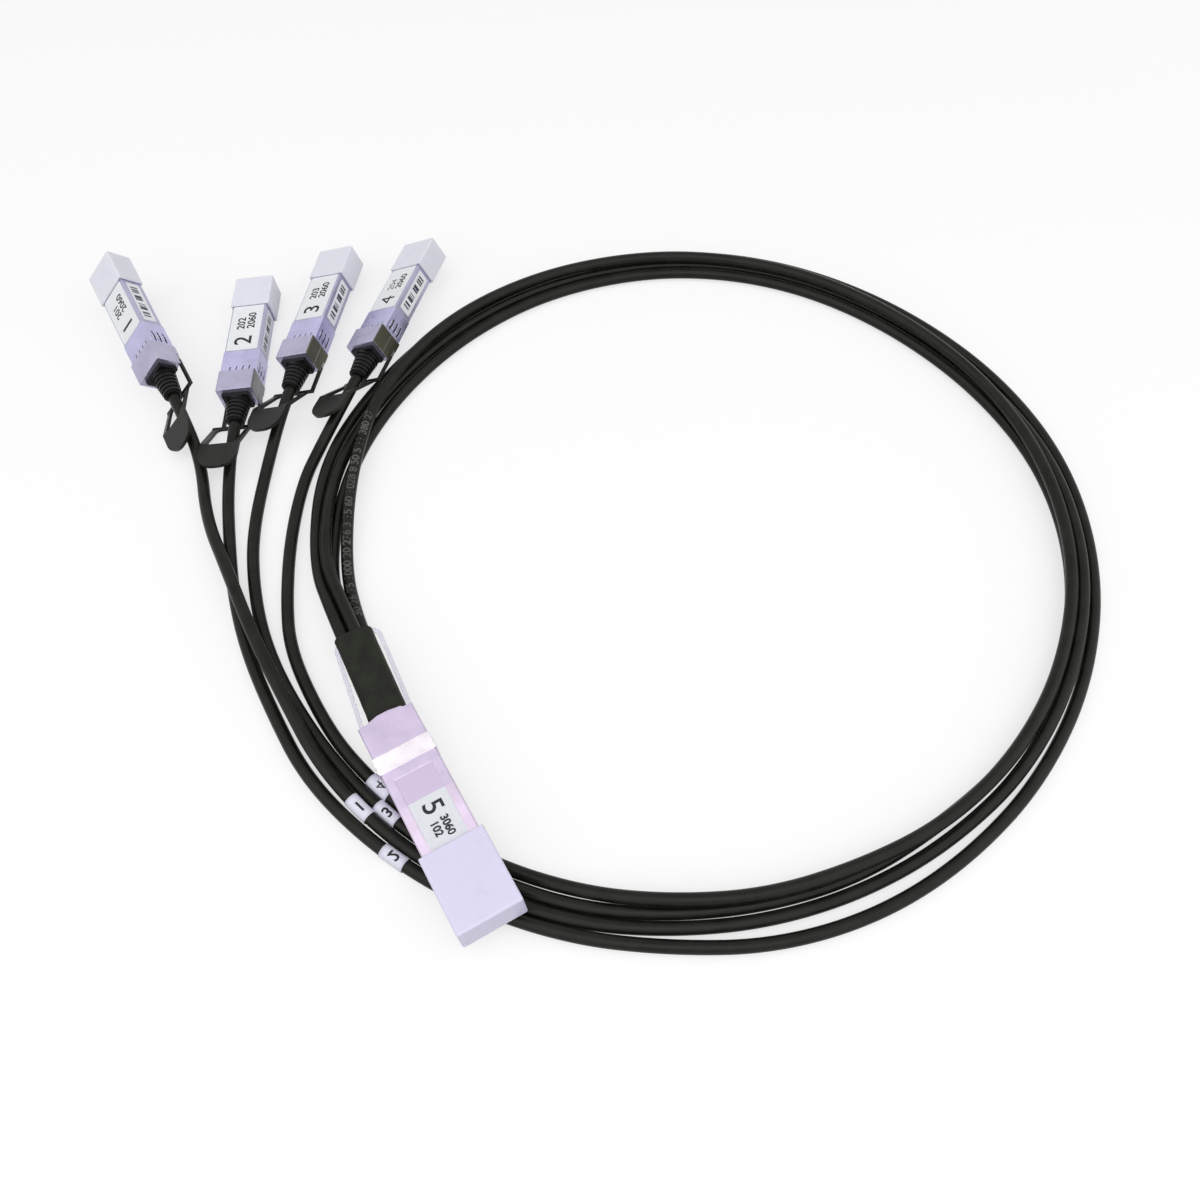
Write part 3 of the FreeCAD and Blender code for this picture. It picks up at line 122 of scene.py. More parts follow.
class Graph:
    """A material's node tree with short ways to add and join nodes."""

    def __init__(self, name: str) -> None:
        """Start an empty material.

        Args:
            name: the material's name.
        """
        self.material = bpy.data.materials.new(name)
        self.material.use_nodes = True
        self.tree = self.material.node_tree
        self.tree.nodes.clear()
        self.output = self.add("ShaderNodeOutputMaterial")

    def add(self, kind: str, **values: object) -> Node:
        """Add a node and set its properties and its unlinked inputs.

        Args:
            kind: the node's class name.
            values: properties by name, or inputs by name with spaces as underscores.

        Returns:
            The new node.
        """
        node = self.tree.nodes.new(kind)
        for key, value in values.items():
            if hasattr(node, key):
                setattr(node, key, value)
            else:
                node.inputs[key.replace("_", " ")].default_value = value
        return node

    def join(self, start: Socket, end: Socket) -> None:
        """Link two sockets."""
        self.tree.links.new(start, end)

    def surface(self, **values: object) -> Node:
        """Add the Principled shader and join it to the output.

        Args:
            values: inputs by name with spaces as underscores.

        Returns:
            The shader node.
        """
        shader = self.add("ShaderNodeBsdfPrincipled")
        for key, value in values.items():
            shader.inputs[key.replace("_", " ")].default_value = value
        self.join(shader.outputs[0], self.output.inputs["Surface"])
        return shader

    def place(self, scale: Point = (1, 1, 1), seat: Seat | None = None) -> Socket:
        """Object coordinates, in a plug's own frame where a seat is given.

        Args:
            scale: how much each axis is stretched.
            seat: the plug whose frame the coordinates are in.

        Returns:
            The socket that gives the coordinates.
        """
        here = self.add("ShaderNodeTexCoord").outputs["Object"]
        if seat is not None:
            own = self.add("ShaderNodeMapping", vector_type="TEXTURE")
            matrix = seat.matrix()
            own.inputs["Location"].default_value = matrix.to_translation()
            own.inputs["Rotation"].default_value = matrix.to_euler("XYZ")
            self.join(here, own.inputs["Vector"])
            here = own.outputs["Vector"]
        stretch = self.add("ShaderNodeMapping")
        stretch.inputs["Scale"].default_value = scale
        self.join(here, stretch.inputs["Vector"])
        return stretch.outputs["Vector"]

    def noise(self, where: Socket, scale: float, detail: float, rough: float = 0.5) -> Socket:
        """A noise pattern's factor.

        Args:
            where: coordinates.
            scale: cells to the metre.
            detail: octaves.
            rough: weight of the finer octaves.

        Returns:
            The factor's socket.
        """
        node = self.add("ShaderNodeTexNoise", Scale=scale, Detail=detail, Roughness=rough)
        self.join(where, node.inputs["Vector"])
        return node.outputs["Fac"]

    def spread(self, value: Socket, low: float, high: float,
               start: float = 0.3, end: float = 0.7) -> Socket:
        """Stretch a factor to a new range.

        Args:
            value: the factor.
            low: result at start.
            high: result at end.
            start: factor that gives low.
            end: factor that gives high.

        Returns:
            The result's socket.
        """
        node = self.add("ShaderNodeMapRange")
        for key, number in zip(("From Min", "From Max", "To Min", "To Max"), (start, end, low, high)):
            node.inputs[key].default_value = number
        self.join(value, node.inputs["Value"])
        return node.outputs["Result"]

    def blend(self, factor: Socket, first: Shade, second: Shade) -> Socket:
        """Mix two colours by a factor.

        Args:
            factor: 0 gives the first colour and 1 the second.
            first: a linear colour or a colour socket.
            second: a linear colour or a colour socket.

        Returns:
            The colour's socket.
        """
        node = self.add("ShaderNodeMix", data_type="RGBA")
        ends = [socket for socket in node.inputs if socket.type == "RGBA"]
        for socket, colour in zip(ends, (first, second)):
            if isinstance(colour, Socket):
                self.join(colour, socket)
            else:
                socket.default_value = (*colour, 1)
        self.join(factor, node.inputs["Factor"])
        return next(socket for socket in node.outputs if socket.type == "RGBA")

    def clouded(self, cloud: Socket, colour: Colour, shade: float) -> Socket:
        """A colour with soft clouds of a shade of it."""
        return self.blend(self.spread(cloud, 0.0, 1.0), scaled(colour, shade), colour)

    def math(self, operation: str, *values: object) -> Socket:
        """A math node on sockets and numbers.

        Args:
            operation: the node's operation.
            values: sockets or numbers, in order.

        Returns:
            The result's socket.
        """
        node = self.add("ShaderNodeMath", operation=operation)
        for index, value in enumerate(values):
            if isinstance(value, (int, float)):
                node.inputs[index].default_value = value
            else:
                self.join(value, node.inputs[index])
        return node.outputs[0]

    def axes(self, where: Socket) -> list[Socket]:
        """The three parts of a vector."""
        node = self.add("ShaderNodeSeparateXYZ")
        self.join(where, node.inputs[0])
        return list(node.outputs)

    def between(self, value: Socket, low: float, high: float) -> Socket:
        """Factor that is 1 where a value lies between two limits."""
        return self.math("MULTIPLY", self.math("GREATER_THAN", value, low),
                         self.math("LESS_THAN", value, high))

    def rounded(self, edge: float) -> Socket:
        """Normal that is rounded over edges by a radius in metres."""
        bevel = self.add("ShaderNodeBevel", samples=4)
        bevel.inputs["Radius"].default_value = edge
        return bevel.outputs[0]

    def corners(self, edge: float, amount: float) -> Socket:
        """Factor that rises on edges, where the rounded normal leaves the flat one.

        Args:
            edge: radius of the rounded edges in metres.
            amount: the factor on the sharpest edges.

        Returns:
            The factor's socket.
        """
        flat = self.add("ShaderNodeNewGeometry").outputs["Normal"]
        match = self.add("ShaderNodeVectorMath", operation="DOT_PRODUCT")
        self.join(self.rounded(edge), match.inputs[0])
        self.join(flat, match.inputs[1])
        return self.spread(match.outputs["Value"], amount, 0.0, 0.8, 0.98)

    def relief(self, shader: Node, height: Socket, distance: float, strength: float,
               edge: float = 0.0) -> None:
        """Give a shader small relief, over rounded edges where a radius is given.

        Args:
            shader: the Principled shader.
            height: the relief's factor.
            distance: depth of the relief in metres.
            strength: how much of it shows.
            edge: radius of the rounded edges in metres.
        """
        bump = self.add("ShaderNodeBump", Strength=strength, Distance=distance)
        self.join(height, bump.inputs["Height"])
        if edge:
            self.join(self.rounded(edge), bump.inputs["Normal"])
        self.join(bump.outputs[0], shader.inputs["Normal"])


# Finishes


@dataclass(frozen=True)
class Zone:
    """A box in a plug's own frame, in millimetres, where painted shade and reflection give its plating
    another tone.
    """

    across: tuple[float, float]
    along: tuple[float, float]
    colour: Colour
    dull: bool = False

    def inside(self, graph: Graph, across: Socket, along: Socket) -> Socket:
        """Factor that is 1 inside the box."""
        return graph.math("MULTIPLY", graph.between(across, *(MM * side for side in self.across)),
                          graph.between(along, *(MM * end for end in self.along)))


@dataclass(frozen=True)
class PlatedMetal:
    """Satin nickel plating on a casting or a thin sheet, with a lilac cast, painted highlights on its
    edges and boxes of painted shade.
    """

    name: str
    colour: Colour
    roughness: float = 0.3
    metallic: float = 0.8
    grain: float = 0.12
    edge: float = 0.00025
    painted_edge_highlight: float = 0.7
    painted_highlight_gain: float = 1.7
    shade: float = 0.8
    zone_shade: float = 0.82
    clouds: float = 130.0
    grit: float = 2600.0
    grit_depth: float = 0.00004
    seat: Seat | None = None
    zones: tuple[Zone, ...] = ()

    def build(self) -> Material:
        """Make the material."""
        graph = Graph(self.name)
        where = graph.place()
        cloud = graph.noise(where, self.clouds, 5.0, 0.6)
        shader = graph.surface()
        tone = graph.clouded(cloud, self.colour, self.shade)
        metal = graph.spread(cloud, self.metallic - 0.04, self.metallic + 0.04)
        if self.seat is not None:
            across, along, _ = graph.axes(graph.place(seat=self.seat))
            # Painted shade and reflection: inside each zone the plating takes the zone's tone.
            for zone in self.zones:
                inside = zone.inside(graph, across, along)
                tone = graph.blend(inside, tone, graph.clouded(cloud, zone.colour, self.zone_shade))
                if zone.dull:
                    metal = graph.math("MULTIPLY", metal, graph.math("SUBTRACT", 1.0, inside))
        # Painted highlight: the edges are lightened to a brighter copy of the plating colour.
        corners = graph.corners(self.edge, self.painted_edge_highlight)
        tone = graph.blend(corners, tone, scaled(self.colour, self.painted_highlight_gain))
        graph.join(tone, shader.inputs["Base Color"])
        graph.join(metal, shader.inputs["Metallic"])
        rough = graph.spread(cloud, self.roughness - 0.05, self.roughness + 0.07)
        graph.join(rough, shader.inputs["Roughness"])
        fine = graph.noise(where, self.grit, 2.0)
        graph.relief(shader, fine, self.grit_depth, self.grain, self.edge)
        return graph.material


@dataclass(frozen=True)
class BlackMoulding:
    """Black rubber or plastic with a fine skin and faint dust in soft clouds."""

    name: str
    colour: Colour
    roughness: float = 0.45
    skin: float = 1500.0
    depth: float = 0.00005
    edge: float = 0.0002
    shine: float = 0.2
    mottle: float = 1.5
    dust: float = 0.004
    clouds: float = 160.0

    def build(self) -> Material:
        """Make the material."""
        graph = Graph(self.name)
        where = graph.place()
        cloud = graph.noise(where, self.clouds, 4.0)
        pale = scaled(self.colour, self.mottle, self.dust)
        shader = graph.surface(Specular_IOR_Level=self.shine)
        graph.join(graph.blend(graph.spread(cloud, 0.0, 1.0, 0.35, 0.75), self.colour, pale),
                   shader.inputs["Base Color"])
        graph.join(graph.spread(cloud, self.roughness - 0.06, self.roughness + 0.1),
                   shader.inputs["Roughness"])
        graph.relief(shader, graph.noise(where, self.skin, 3.0), self.depth, 0.35, self.edge)
        return graph.material


@dataclass(frozen=True)
class FrostedPlastic:
    """Milky lilac plastic of the dust caps and the pull loop, with painted highlights on its edges."""

    name: str
    colour: Colour
    transmission: float = 0.35
    roughness: float = 0.32
    milk: float = 0.7
    clouds: float = 110.0
    painted_edge_colour: Colour = (0.97, 0.97, 1.0)

    def build(self) -> Material:
        """Make the material."""
        graph = Graph(self.name)
        where = graph.place()
        cloud = graph.noise(where, self.clouds, 3.0)
        shader = graph.surface(Transmission_Weight=self.transmission, IOR=1.46,
                               Subsurface_Weight=self.milk, Subsurface_Scale=0.004,
                               Subsurface_Radius=(0.9, 0.9, 1.0))
        tone = graph.blend(graph.spread(cloud, 0.0, 1.0), self.colour, scaled(self.colour, 1.03))
        # Painted highlight: the edges are lightened toward a pale colour.
        tone = graph.blend(graph.corners(0.0005, 0.8), tone, self.painted_edge_colour)
        graph.join(tone, shader.inputs["Base Color"])
        graph.join(graph.spread(cloud, self.roughness - 0.06, self.roughness + 0.08),
                   shader.inputs["Roughness"])
        graph.relief(shader, graph.noise(where, 700.0, 2.0), 0.00004, 0.2, 0.0004)
        return graph.material


@dataclass(frozen=True)
class CircuitBoard:
    """Green solder mask with rows of gold contacts near the nose, in the plug's own frame."""

    name: str
    seat: Seat
    tip: float
    pitch: float = 0.0008
    filled: float = 0.6
    reach: float = 0.0052
    gold: Colour = (0.83, 0.58, 0.2)
    mask: tuple[Colour, Colour] = ((0.01, 0.09, 0.035), (0.02, 0.15, 0.06))

    def build(self) -> Material:
        """Make the material."""
        graph = Graph(self.name)
        across, along, _ = graph.axes(graph.place(seat=self.seat))
        tracks = graph.noise(graph.place((1, 0.15, 1), self.seat), 1400.0, 1.0)
        mask = graph.blend(graph.spread(tracks, 0.0, 1.0, 0.48, 0.52), *self.mask)
        share = graph.math("FRACT", graph.math("DIVIDE", across, self.pitch))
        row = graph.math("LESS_THAN", share, self.filled)
        ahead = graph.math("GREATER_THAN", along, self.tip - self.reach)
        gold = graph.math("MULTIPLY", row, ahead)
        shader = graph.surface(Roughness=0.35)
        graph.join(graph.blend(gold, mask, self.gold), shader.inputs["Base Color"])
        graph.join(gold, shader.inputs["Metallic"])
        graph.relief(shader, tracks, 0.00003, 0.4)
        return graph.material


@dataclass(frozen=True)
class PrintedPaper:
    """White label paper; where bars are asked for, groups of plain dark bars run along the plug.

    Behind the place named clear, the label is a clear film that shows the plating under it.
    """

    name: str
    seat: Seat
    bars: tuple[tuple[float, float], ...] = ()
    band: tuple[float, float] = (0.0, 0.0)
    clear: float = 0.0
    colour: Colour = (0.92, 0.95, 0.97)
    film: Colour = (0.53, 0.45, 0.6)
    film_metal: float = 0.8
    ink: Colour = (0.012, 0.015, 0.035)
    stripes: float = 1300.0
    inked: float = 0.43

    def build(self) -> Material:
        """Make the material."""
        graph = Graph(self.name)
        where = graph.place(seat=self.seat)
        _, along, up = graph.axes(where)
        fibre = graph.noise(where, 900.0, 4.0)
        paper = graph.clouded(fibre, self.colour, 0.95)
        shader = graph.surface(Roughness=0.5)
        if self.clear:
            bare = graph.math("LESS_THAN", along, self.clear)
            paper = graph.blend(bare, paper, self.film)
            graph.join(graph.math("MULTIPLY", bare, self.film_metal), shader.inputs["Metallic"])
        if self.bars:
            paper = graph.blend(self.printed_bars(graph, along, up), paper, self.ink)
        graph.join(paper, shader.inputs["Base Color"])
        graph.relief(shader, fibre, 0.00002, 0.25)
        return graph.material

    def printed_bars(self, graph: Graph, along: Socket, up: Socket) -> Socket:
        """Factor that is 1 on the bars' ink.

        Args:
            graph: the material's graph.
            along: place along the plug.
            up: height in the plug's own frame.

        Returns:
            The factor's socket.
        """
        groups: Socket | float = 0.0
        for start, end in self.bars:
            groups = graph.math("ADD", groups, graph.between(along, start, end))
        stripe = graph.add("ShaderNodeTexNoise", noise_dimensions="1D", Scale=self.stripes, Detail=0.0)
        graph.join(along, stripe.inputs["W"])
        ink = graph.math("GREATER_THAN", stripe.outputs["Fac"], self.inked)
        ink = graph.math("MULTIPLY", ink, groups)
        return graph.math("MULTIPLY", ink, graph.between(up, *self.band))


class Finishes:
    """Every finish of the cable, made once and handed out by name."""

    def __init__(self) -> None:
        """Make the finishes that more than one piece wears."""
        # The wide plug's plating has two bands a little darker: painted shade.
        self.quad = PlatedMetal(
            "quad_plating", (0.71, 0.6, 0.76), 0.36, seat=SEATS[Plug.QUAD],
            zones=(Zone((-12, 12), (-3, 11.8), (0.62, 0.53, 0.71)),
                   Zone((-12, 12), (17.9, 31.0), (0.64, 0.55, 0.73)))).build()
        self.collar = PlatedMetal("collar_sheet", (0.54, 0.53, 0.77), 0.24, 0.9).build()
        self.band = PlatedMetal("band_sheet", (0.95, 0.88, 0.95), 0.25, 0.7).build()
        self.steel = PlatedMetal("latch_steel", (0.36, 0.35, 0.36), 0.32, 0.9).build()
        self.jacket = BlackMoulding("cable_jacket", (0.0062, 0.0067, 0.0046), 0.3, 1800.0,
                                    shine=0.17).build()
        self.sleeve = BlackMoulding("shrunk_sleeve", (0.005, 0.0058, 0.0035), 0.6, 700.0, 0.00012,
                                    mottle=3.4).build()
        self.print = BlackMoulding("jacket_print", (0.11, 0.115, 0.11), 0.5, 900.0, 0.00002,
                                   0.0, mottle=0.4).build()
        self.boot = BlackMoulding("boot_rubber", (0.004, 0.004, 0.0045), 0.34).build()
        self.tab = BlackMoulding("tab_moulding", (0.013, 0.0135, 0.012), 0.36, 1200.0).build()
        self.cap = FrostedPlastic("cap_plastic", (0.87, 0.88, 1.0), 0.0, milk=0.15).build()
        self.wide_cap = FrostedPlastic("wide_cap_plastic", (0.76, 0.73, 0.96), 0.0, milk=0.15).build()
        self.loop = FrostedPlastic("loop_plastic", (0.9, 0.87, 0.98), 0.85, 0.15, 0.1).build()
        self.ink = BlackMoulding("print_ink", (0.02, 0.021, 0.024), 0.55, 2000.0, 0.00001,
                                 0.0).build()


def dress(piece: Piece, finish: Material) -> None:
    """Give an object one finish in every material slot.

    Args:
        piece: a CAD node or a new piece.
        finish: the material.
    """
    if not piece.material_slots:
        piece.data.materials.append(finish)
    for spot in piece.material_slots:
        spot.material = finish


# Modelling by hand


class Bench:
    """Common moves of modelling: start clean, select a piece, shape it, finish and seat it."""

    @staticmethod
    def clear() -> None:
        """Leave edit mode and deselect everything."""
        if bpy.context.object and bpy.context.object.mode != "OBJECT":
            bpy.ops.object.mode_set(mode="OBJECT")
        bpy.ops.object.select_all(action="DESELECT")

    @staticmethod
    def only(piece: Piece) -> None:
        """Select one object alone and make it active."""
        Bench.clear()
        piece.select_set(True)
        bpy.context.view_layer.objects.active = piece

    @staticmethod
    def keep(piece: Piece, name: str, finish: Material, slot: str) -> Piece:
        """Name, dress and hand over a finished piece that rides on the root body.

        Args:
            piece: the modelled object.
            name: its name in the model.
            finish: its material.
            slot: not used.

        Returns:
            The same object.
        """
        Bench.only(piece)
        bpy.ops.object.transform_apply(location=True, rotation=True, scale=True)
        piece.name = name
        piece.data.name = name
        dress(piece, finish)
        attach(piece, ROOT)
        LOG.info("%s: %d faces", name, len(piece.data.polygons))
        return piece

    @staticmethod
    def sleeve(rings: Sequence[Sequence[Vector]], capped: bool = False) -> Piece:
        """Extrude a ring of points from station to station.

        Args:
            rings: closed rings with the same number of points each.
            capped: whether both ends are filled.

        Returns:
            The new object, in object mode.
        """
        Bench.clear()
        count = len(rings[0])
        bpy.ops.mesh.primitive_circle_add(vertices=count, radius=0.01)
        piece = bpy.context.object
        for vertex, point in zip(piece.data.vertices, rings[0]):
            vertex.co = point
        for ring in rings[1:]:
            bpy.ops.object.mode_set(mode="EDIT")
            bpy.ops.mesh.extrude_region_move(
                TRANSFORM_OT_translate={"value": ring[0] - Bench.picked(piece)})
            bpy.ops.object.mode_set(mode="OBJECT")
            fresh = sorted((v for v in piece.data.vertices if v.select), key=lambda v: v.index)
            for vertex, point in zip(fresh, ring):
                vertex.co = point
        if capped:
            Bench.cap(piece)
        Bench.only(piece)
        bpy.ops.object.mode_set(mode="EDIT")
        bpy.ops.mesh.select_all(action="SELECT")
        bpy.ops.mesh.normals_make_consistent(inside=False)
        bpy.ops.object.mode_set(mode="OBJECT")
        return piece

    @staticmethod
    def modify(piece: Piece, kind: str, **values: object) -> None:
        """Add one modifier, set it and apply it.

        Args:
            piece: the object.
            kind: the modifier's type.
            values: its settings.
        """
        Bench.only(piece)
        modifier = piece.modifiers.new(kind.lower(), kind)
        for key, value in values.items():
            setattr(modifier, key, value)
        bpy.ops.object.modifier_apply(modifier=modifier.name)

    @staticmethod
    def break_edges(piece: Piece, width: float) -> None:
        """Round the sharp edges by a width in millimetres."""
        Bench.modify(piece, "BEVEL", width=width * MM, segments=2, limit_method="ANGLE",
                     angle_limit=math.radians(50))

    @staticmethod
    def smooth(piece: Piece) -> None:
        """Shade every face smooth."""
        for polygon in piece.data.polygons:
            polygon.use_smooth = True

    @staticmethod
    def picked(piece: Piece) -> Vector:
        """Place of the first selected vertex of a mesh."""
        return next(v.co.copy() for v in piece.data.vertices if v.select)

    @staticmethod
    def cap(piece: Piece) -> None:
        """Fill the two open rings at a sleeve's ends."""
        Bench.only(piece)
        bpy.ops.object.mode_set(mode="EDIT")
        bpy.ops.mesh.select_all(action="DESELECT")
        bpy.ops.mesh.select_mode(type="EDGE")
        bpy.ops.mesh.select_non_manifold()
        bpy.ops.mesh.edge_face_add()
        bpy.ops.mesh.select_mode(type="VERT")
        bpy.ops.object.mode_set(mode="OBJECT")


def printed(text: str, height: float, bold: float) -> Piece:
    """Flat printed text as a thin mesh about its own middle.

    Args:
        text: plain digits.
        height: size of the type in millimetres.
        bold: millimetres that the strokes gain, but none with a 4, whose eye would close.

    Returns:
        The mesh object.
    """
    Bench.clear()
    bpy.ops.object.text_add()
    piece = bpy.context.object
    piece.data.body = text
    piece.data.size = height * MM
    piece.data.align_x = "CENTER"
    piece.data.align_y = "CENTER"
    piece.data.extrude = INK_THICKNESS
    piece.data.offset = 0.0 if "4" in text else bold * MM
    bpy.ops.object.convert(target="MESH")
    return bpy.context.object


# Cables


def millimetres(points: Iterable[Point]) -> list[Vector]:
    """Points given in millimetres as vectors in metres."""
    return [Vector(point) * MM for point in points]


@dataclass
class Cable:
    """One jacketed cable: a NURBS line along the route's control points."""

    plug: Plug
    length: float
    route: list[Point]
    diameter: float = 4.3
    steps: int = 14
    roundness: int = 6
    line: list[Vector] = field(default_factory=list)

    def radius(self) -> float:
        """The jacket's radius in metres."""
        return self.diameter / 2 * MM

    def build(self, finishes: Finishes) -> Piece:
        """Args:
            finishes: the materials.

        Returns:
            The cable's curve object.
        """
        points = millimetres(self.route)
        curve = bpy.data.curves.new(self.plug.value + "_jacket", "CURVE")
        curve.dimensions = "3D"
        spline = curve.splines.new("NURBS")
        spline.points.add(len(points) - 1)
        for control, point in zip(spline.points, points):
            control.co = (*point, 1)
        spline.order_u = 3
        spline.use_endpoint_u = True
        spline.resolution_u = self.steps
        piece = bpy.data.objects.new(self.plug.value + "_jacket", curve)
        bpy.context.collection.objects.link(piece)
        self.line = self.read_line(piece)
        curve.bevel_depth = self.radius()
        curve.bevel_resolution = self.roundness
        curve.use_fill_caps = True
        Bench.clear()
        dress(piece, finishes.jacket)
        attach(piece, ROOT)
        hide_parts(self.plug.value + "_cable")
        LOG.info("%s cable: %d control points", self.plug.value, len(points))
        return piece

    @staticmethod
    def read_line(piece: Piece) -> list[Vector]:
        """Points along the curve's own line, read while it has no bevel."""
        bpy.context.view_layer.update()
        mesh = bpy.data.meshes.new_from_object(piece)
        line = [vertex.co.copy() for vertex in mesh.vertices]
        bpy.data.meshes.remove(mesh)
        return line

    def at(self, distance: float) -> tuple[Vector, Vector]:
        """Point and direction at a distance along the line.

        Args:
            distance: metres from the wide plug's end.

        Returns:
            The point and the unit direction.
        """
        left = distance
        for start, end in zip(self.line, self.line[1:]):
            step = (end - start).length
            if left <= step:
                return start.lerp(end, left / step), (end - start).normalized()
            left -= step
        return self.line[-1], (self.line[-1] - self.line[-2]).normalized()

    def section(self, distance: float) -> tuple[Vector, Vector, Vector]:
        """Middle, side and top directions of the cable's round section at a distance."""
        point, along = self.at(distance)
        side = along.cross(Vector((0, 0, 1))).normalized()
        return point, side, side.cross(along)

    def nearest(self, goal: Vector) -> float:
        """Distance along the line of the point nearest to a place."""
        best = min(range(len(self.line)), key=lambda index: (self.line[index] - goal).length)
        return sum((b - a).length for a, b in zip(self.line[:best], self.line[1:best + 1]))


@dataclass
class MarkerWrap:
    """White wrap folded round a cable with a small lap."""

    cable: Cable
    length: float = 8.6
    thick: float = 0.16
    gap: float = 0.1
    lap: float = 0.06
    lap_at: tuple[int, ...] = (3, 4)
    rings: int = 7
    sides: int = 28

    def middle(self) -> float:
        """Distance of the wrap's middle along its cable, in metres."""
        low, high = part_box(self.cable.plug.value + "_marker_wrap")
        return self.cable.nearest((Vector(low) + Vector(high)) / 2)

    def radius(self) -> float:
        """Outer radius in metres."""
        return (self.cable.diameter / 2 + self.gap + self.thick) * MM

    def build(self) -> Piece:
        """Make the wrap.

        Returns:
            The wrap.
        """
        plug = self.cable.plug
        length = self.length * MM
        start = self.middle() - length / 2
        rings = []
        for step in range(self.rings):
            point, side, up = self.cable.section(start + length * step / (self.rings - 1))
            ring = []
            for turn in range(self.sides):
                angle = math.tau * turn / self.sides
                reach = self.radius() + (self.lap * MM if turn in self.lap_at else 0.0)
                ring.append(point + side * math.cos(angle) * reach + up * math.sin(angle) * reach)
            rings.append(ring)
        piece = Bench.sleeve(rings)
        Bench.modify(piece, "SOLIDIFY", thickness=self.thick * MM, offset=-1.0)
        Bench.smooth(piece)
        paper = PrintedPaper(plug.value + "_marker_paper", SEATS[plug], colour=(0.8, 0.8, 0.92))
        Bench.keep(piece, plug.value + "_marker", paper.build(), "marker_white")
        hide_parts(plug.value + "_marker_wrap")
        return piece


@dataclass
class JacketPrint:
    """Plain printed digits laid round a cable or its marker wrap."""

    cable: Cable
    text: str
    name: str
    middle: float
    radius: float
    height: float
    bold: float = 0.1
    lean: float = 0.0
    along_cable: bool = False
    proud: float = 0.03
    merge: float = 0.001

    def build(self, ink: Material) -> Piece:
        """Make the digits.

        Args:
            ink: their material.

        Returns:
            The digits as one piece.
        """
        piece = printed(self.text, self.height, self.bold)
        Bench.only(piece)
        bpy.ops.object.mode_set(mode="EDIT")
        bpy.ops.mesh.select_all(action="SELECT")
        bpy.ops.mesh.remove_doubles(threshold=self.merge * MM)
        bpy.ops.mesh.quads_convert_to_tris()
        bpy.ops.mesh.subdivide(number_cuts=1 if self.along_cable else 3)
        bpy.ops.object.mode_set(mode="OBJECT")
        radius = self.radius + self.proud * MM
        for vertex in piece.data.vertices:
            across, up, out = vertex.co
            if self.along_cable:
                across, up = -up, -across
            point, side, top = self.cable.section(self.middle - up)
            angle = across / radius + math.radians(self.lean)
            vertex.co = point + (side * math.sin(angle) + top * math.cos(angle)) * (radius + out)
        return Bench.keep(piece, self.cable.plug.value + "_" + self.name, ink, "label_white")


# Behind the wide plug


@dataclass
class ShrunkSleeve:
    """Sleeve shrunk round the four cables: oval, a little creased, closed in at its mouth."""

    length: float = 35.0
    wall: float = 0.6
    turn: float = -5.0
    dip: float = 2.2
    middle: float = 5.75
    squareness: float = 3.6
    bend_end: float = 0.12
    plain_end: float = 0.02
    crease: float = 0.018
    fine_crease: float = 0.008
    mouth: float = 0.72
    pinch: float = 0.05
    lane: float = 0.2
    lane_width: float = 0.12
    rings: int = 40
    sides: int = 64
    stations: tuple[tuple[float, float, float, float], ...] = (
        (0.0, -1.03, 12.9, 9.1), (0.3, -0.73, 12.7, 9.5), (0.62, -0.4, 12.7, 9.7),
        (0.9, -0.1, 12.7, 9.9), (1.0, 0.0, 13.0, 10.1))

    def size_at(self, part: float) -> tuple[float, float, float]:
        """Bow, width and height at a part of the length.

        Args:
            part: 0 at the plug and 1 at the mouth.

        Returns:
            The three sizes in millimetres.
        """
        for before, after in zip(self.stations, self.stations[1:]):
            if part <= after[0]:
                share = (part - before[0]) / (after[0] - before[0])
                return tuple(a + (b - a) * share for a, b in zip(before[1:], after[1:]))
        return self.stations[-1][1:]

    def ring(self, part: float) -> list[Vector]:
        """One ring of points with the creases of that place.

        Args:
            part: 0 at the plug and 1 at the mouth.

        Returns:
            Points in metres in the table's frame.
        """
        bow, width, height = self.size_at(part)
        seat = SEATS[Plug.QUAD].matrix()
        frame_here = seat @ Matrix.Translation(Vector((0, 0, self.middle)) * MM)
        turn = Matrix.Rotation(math.radians(self.turn), 4, "Z")
        turn = turn @ Matrix.Rotation(math.radians(self.dip), 4, "X")
        angle = Matrix.Identity(4).lerp(turn, min(1.0, part / self.bend_end))
        power = 2.0 / self.squareness
        fine_crease = self.fine_crease if part > self.plain_end else 0.0
        points = []
        for step in range(self.sides):
            spot = math.tau * step / self.sides
            across, up = math.cos(spot), math.sin(spot)
            x = math.copysign(abs(across) ** power, across) * width / 2
            z = math.copysign(abs(up) ** power, up) * height / 2
            crease = noise.noise(Vector((x * 0.35, part * 9.0, z * 0.35)))
            fine = noise.noise(Vector((x * 0.9, part * 26.0 + 7.0, z * 0.9)))
            pull = 1.0 - self.crease * abs(crease) - fine_crease * fine
            pull *= self.lanes_pull(across, up, part)
            local = Vector((x * pull + bow, -self.length * part, z * pull)) * MM
            points.append(frame_here @ angle @ local)
        return points

    def lanes_pull(self, across: float, up: float, part: float) -> float:
        """How far the mouth closes in between the cables' lanes, above and below."""
        if part < self.mouth or not up:
            return 1.0
        share = (part - self.mouth) / (1.0 - self.mouth)
        lane = math.copysign(self.lane, up)
        return 1.0 - self.pinch * share * math.exp(-((across - lane) / self.lane_width) ** 2)

    def build(self, finishes: Finishes) -> Piece:
        """Make the sleeve.

        Args:
            finishes: the materials.

        Returns:
            The sleeve.
        """
        piece = Bench.sleeve([self.ring(step / self.rings) for step in range(self.rings + 1)])
        Bench.modify(piece, "SOLIDIFY", thickness=self.wall * MM, offset=-1.0)
        Bench.break_edges(piece, 0.1)
        Bench.smooth(piece)
        Bench.keep(piece, "quad_sleeve", finishes.sleeve, "sheath_black")
        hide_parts("quad_sheath")
        return piece


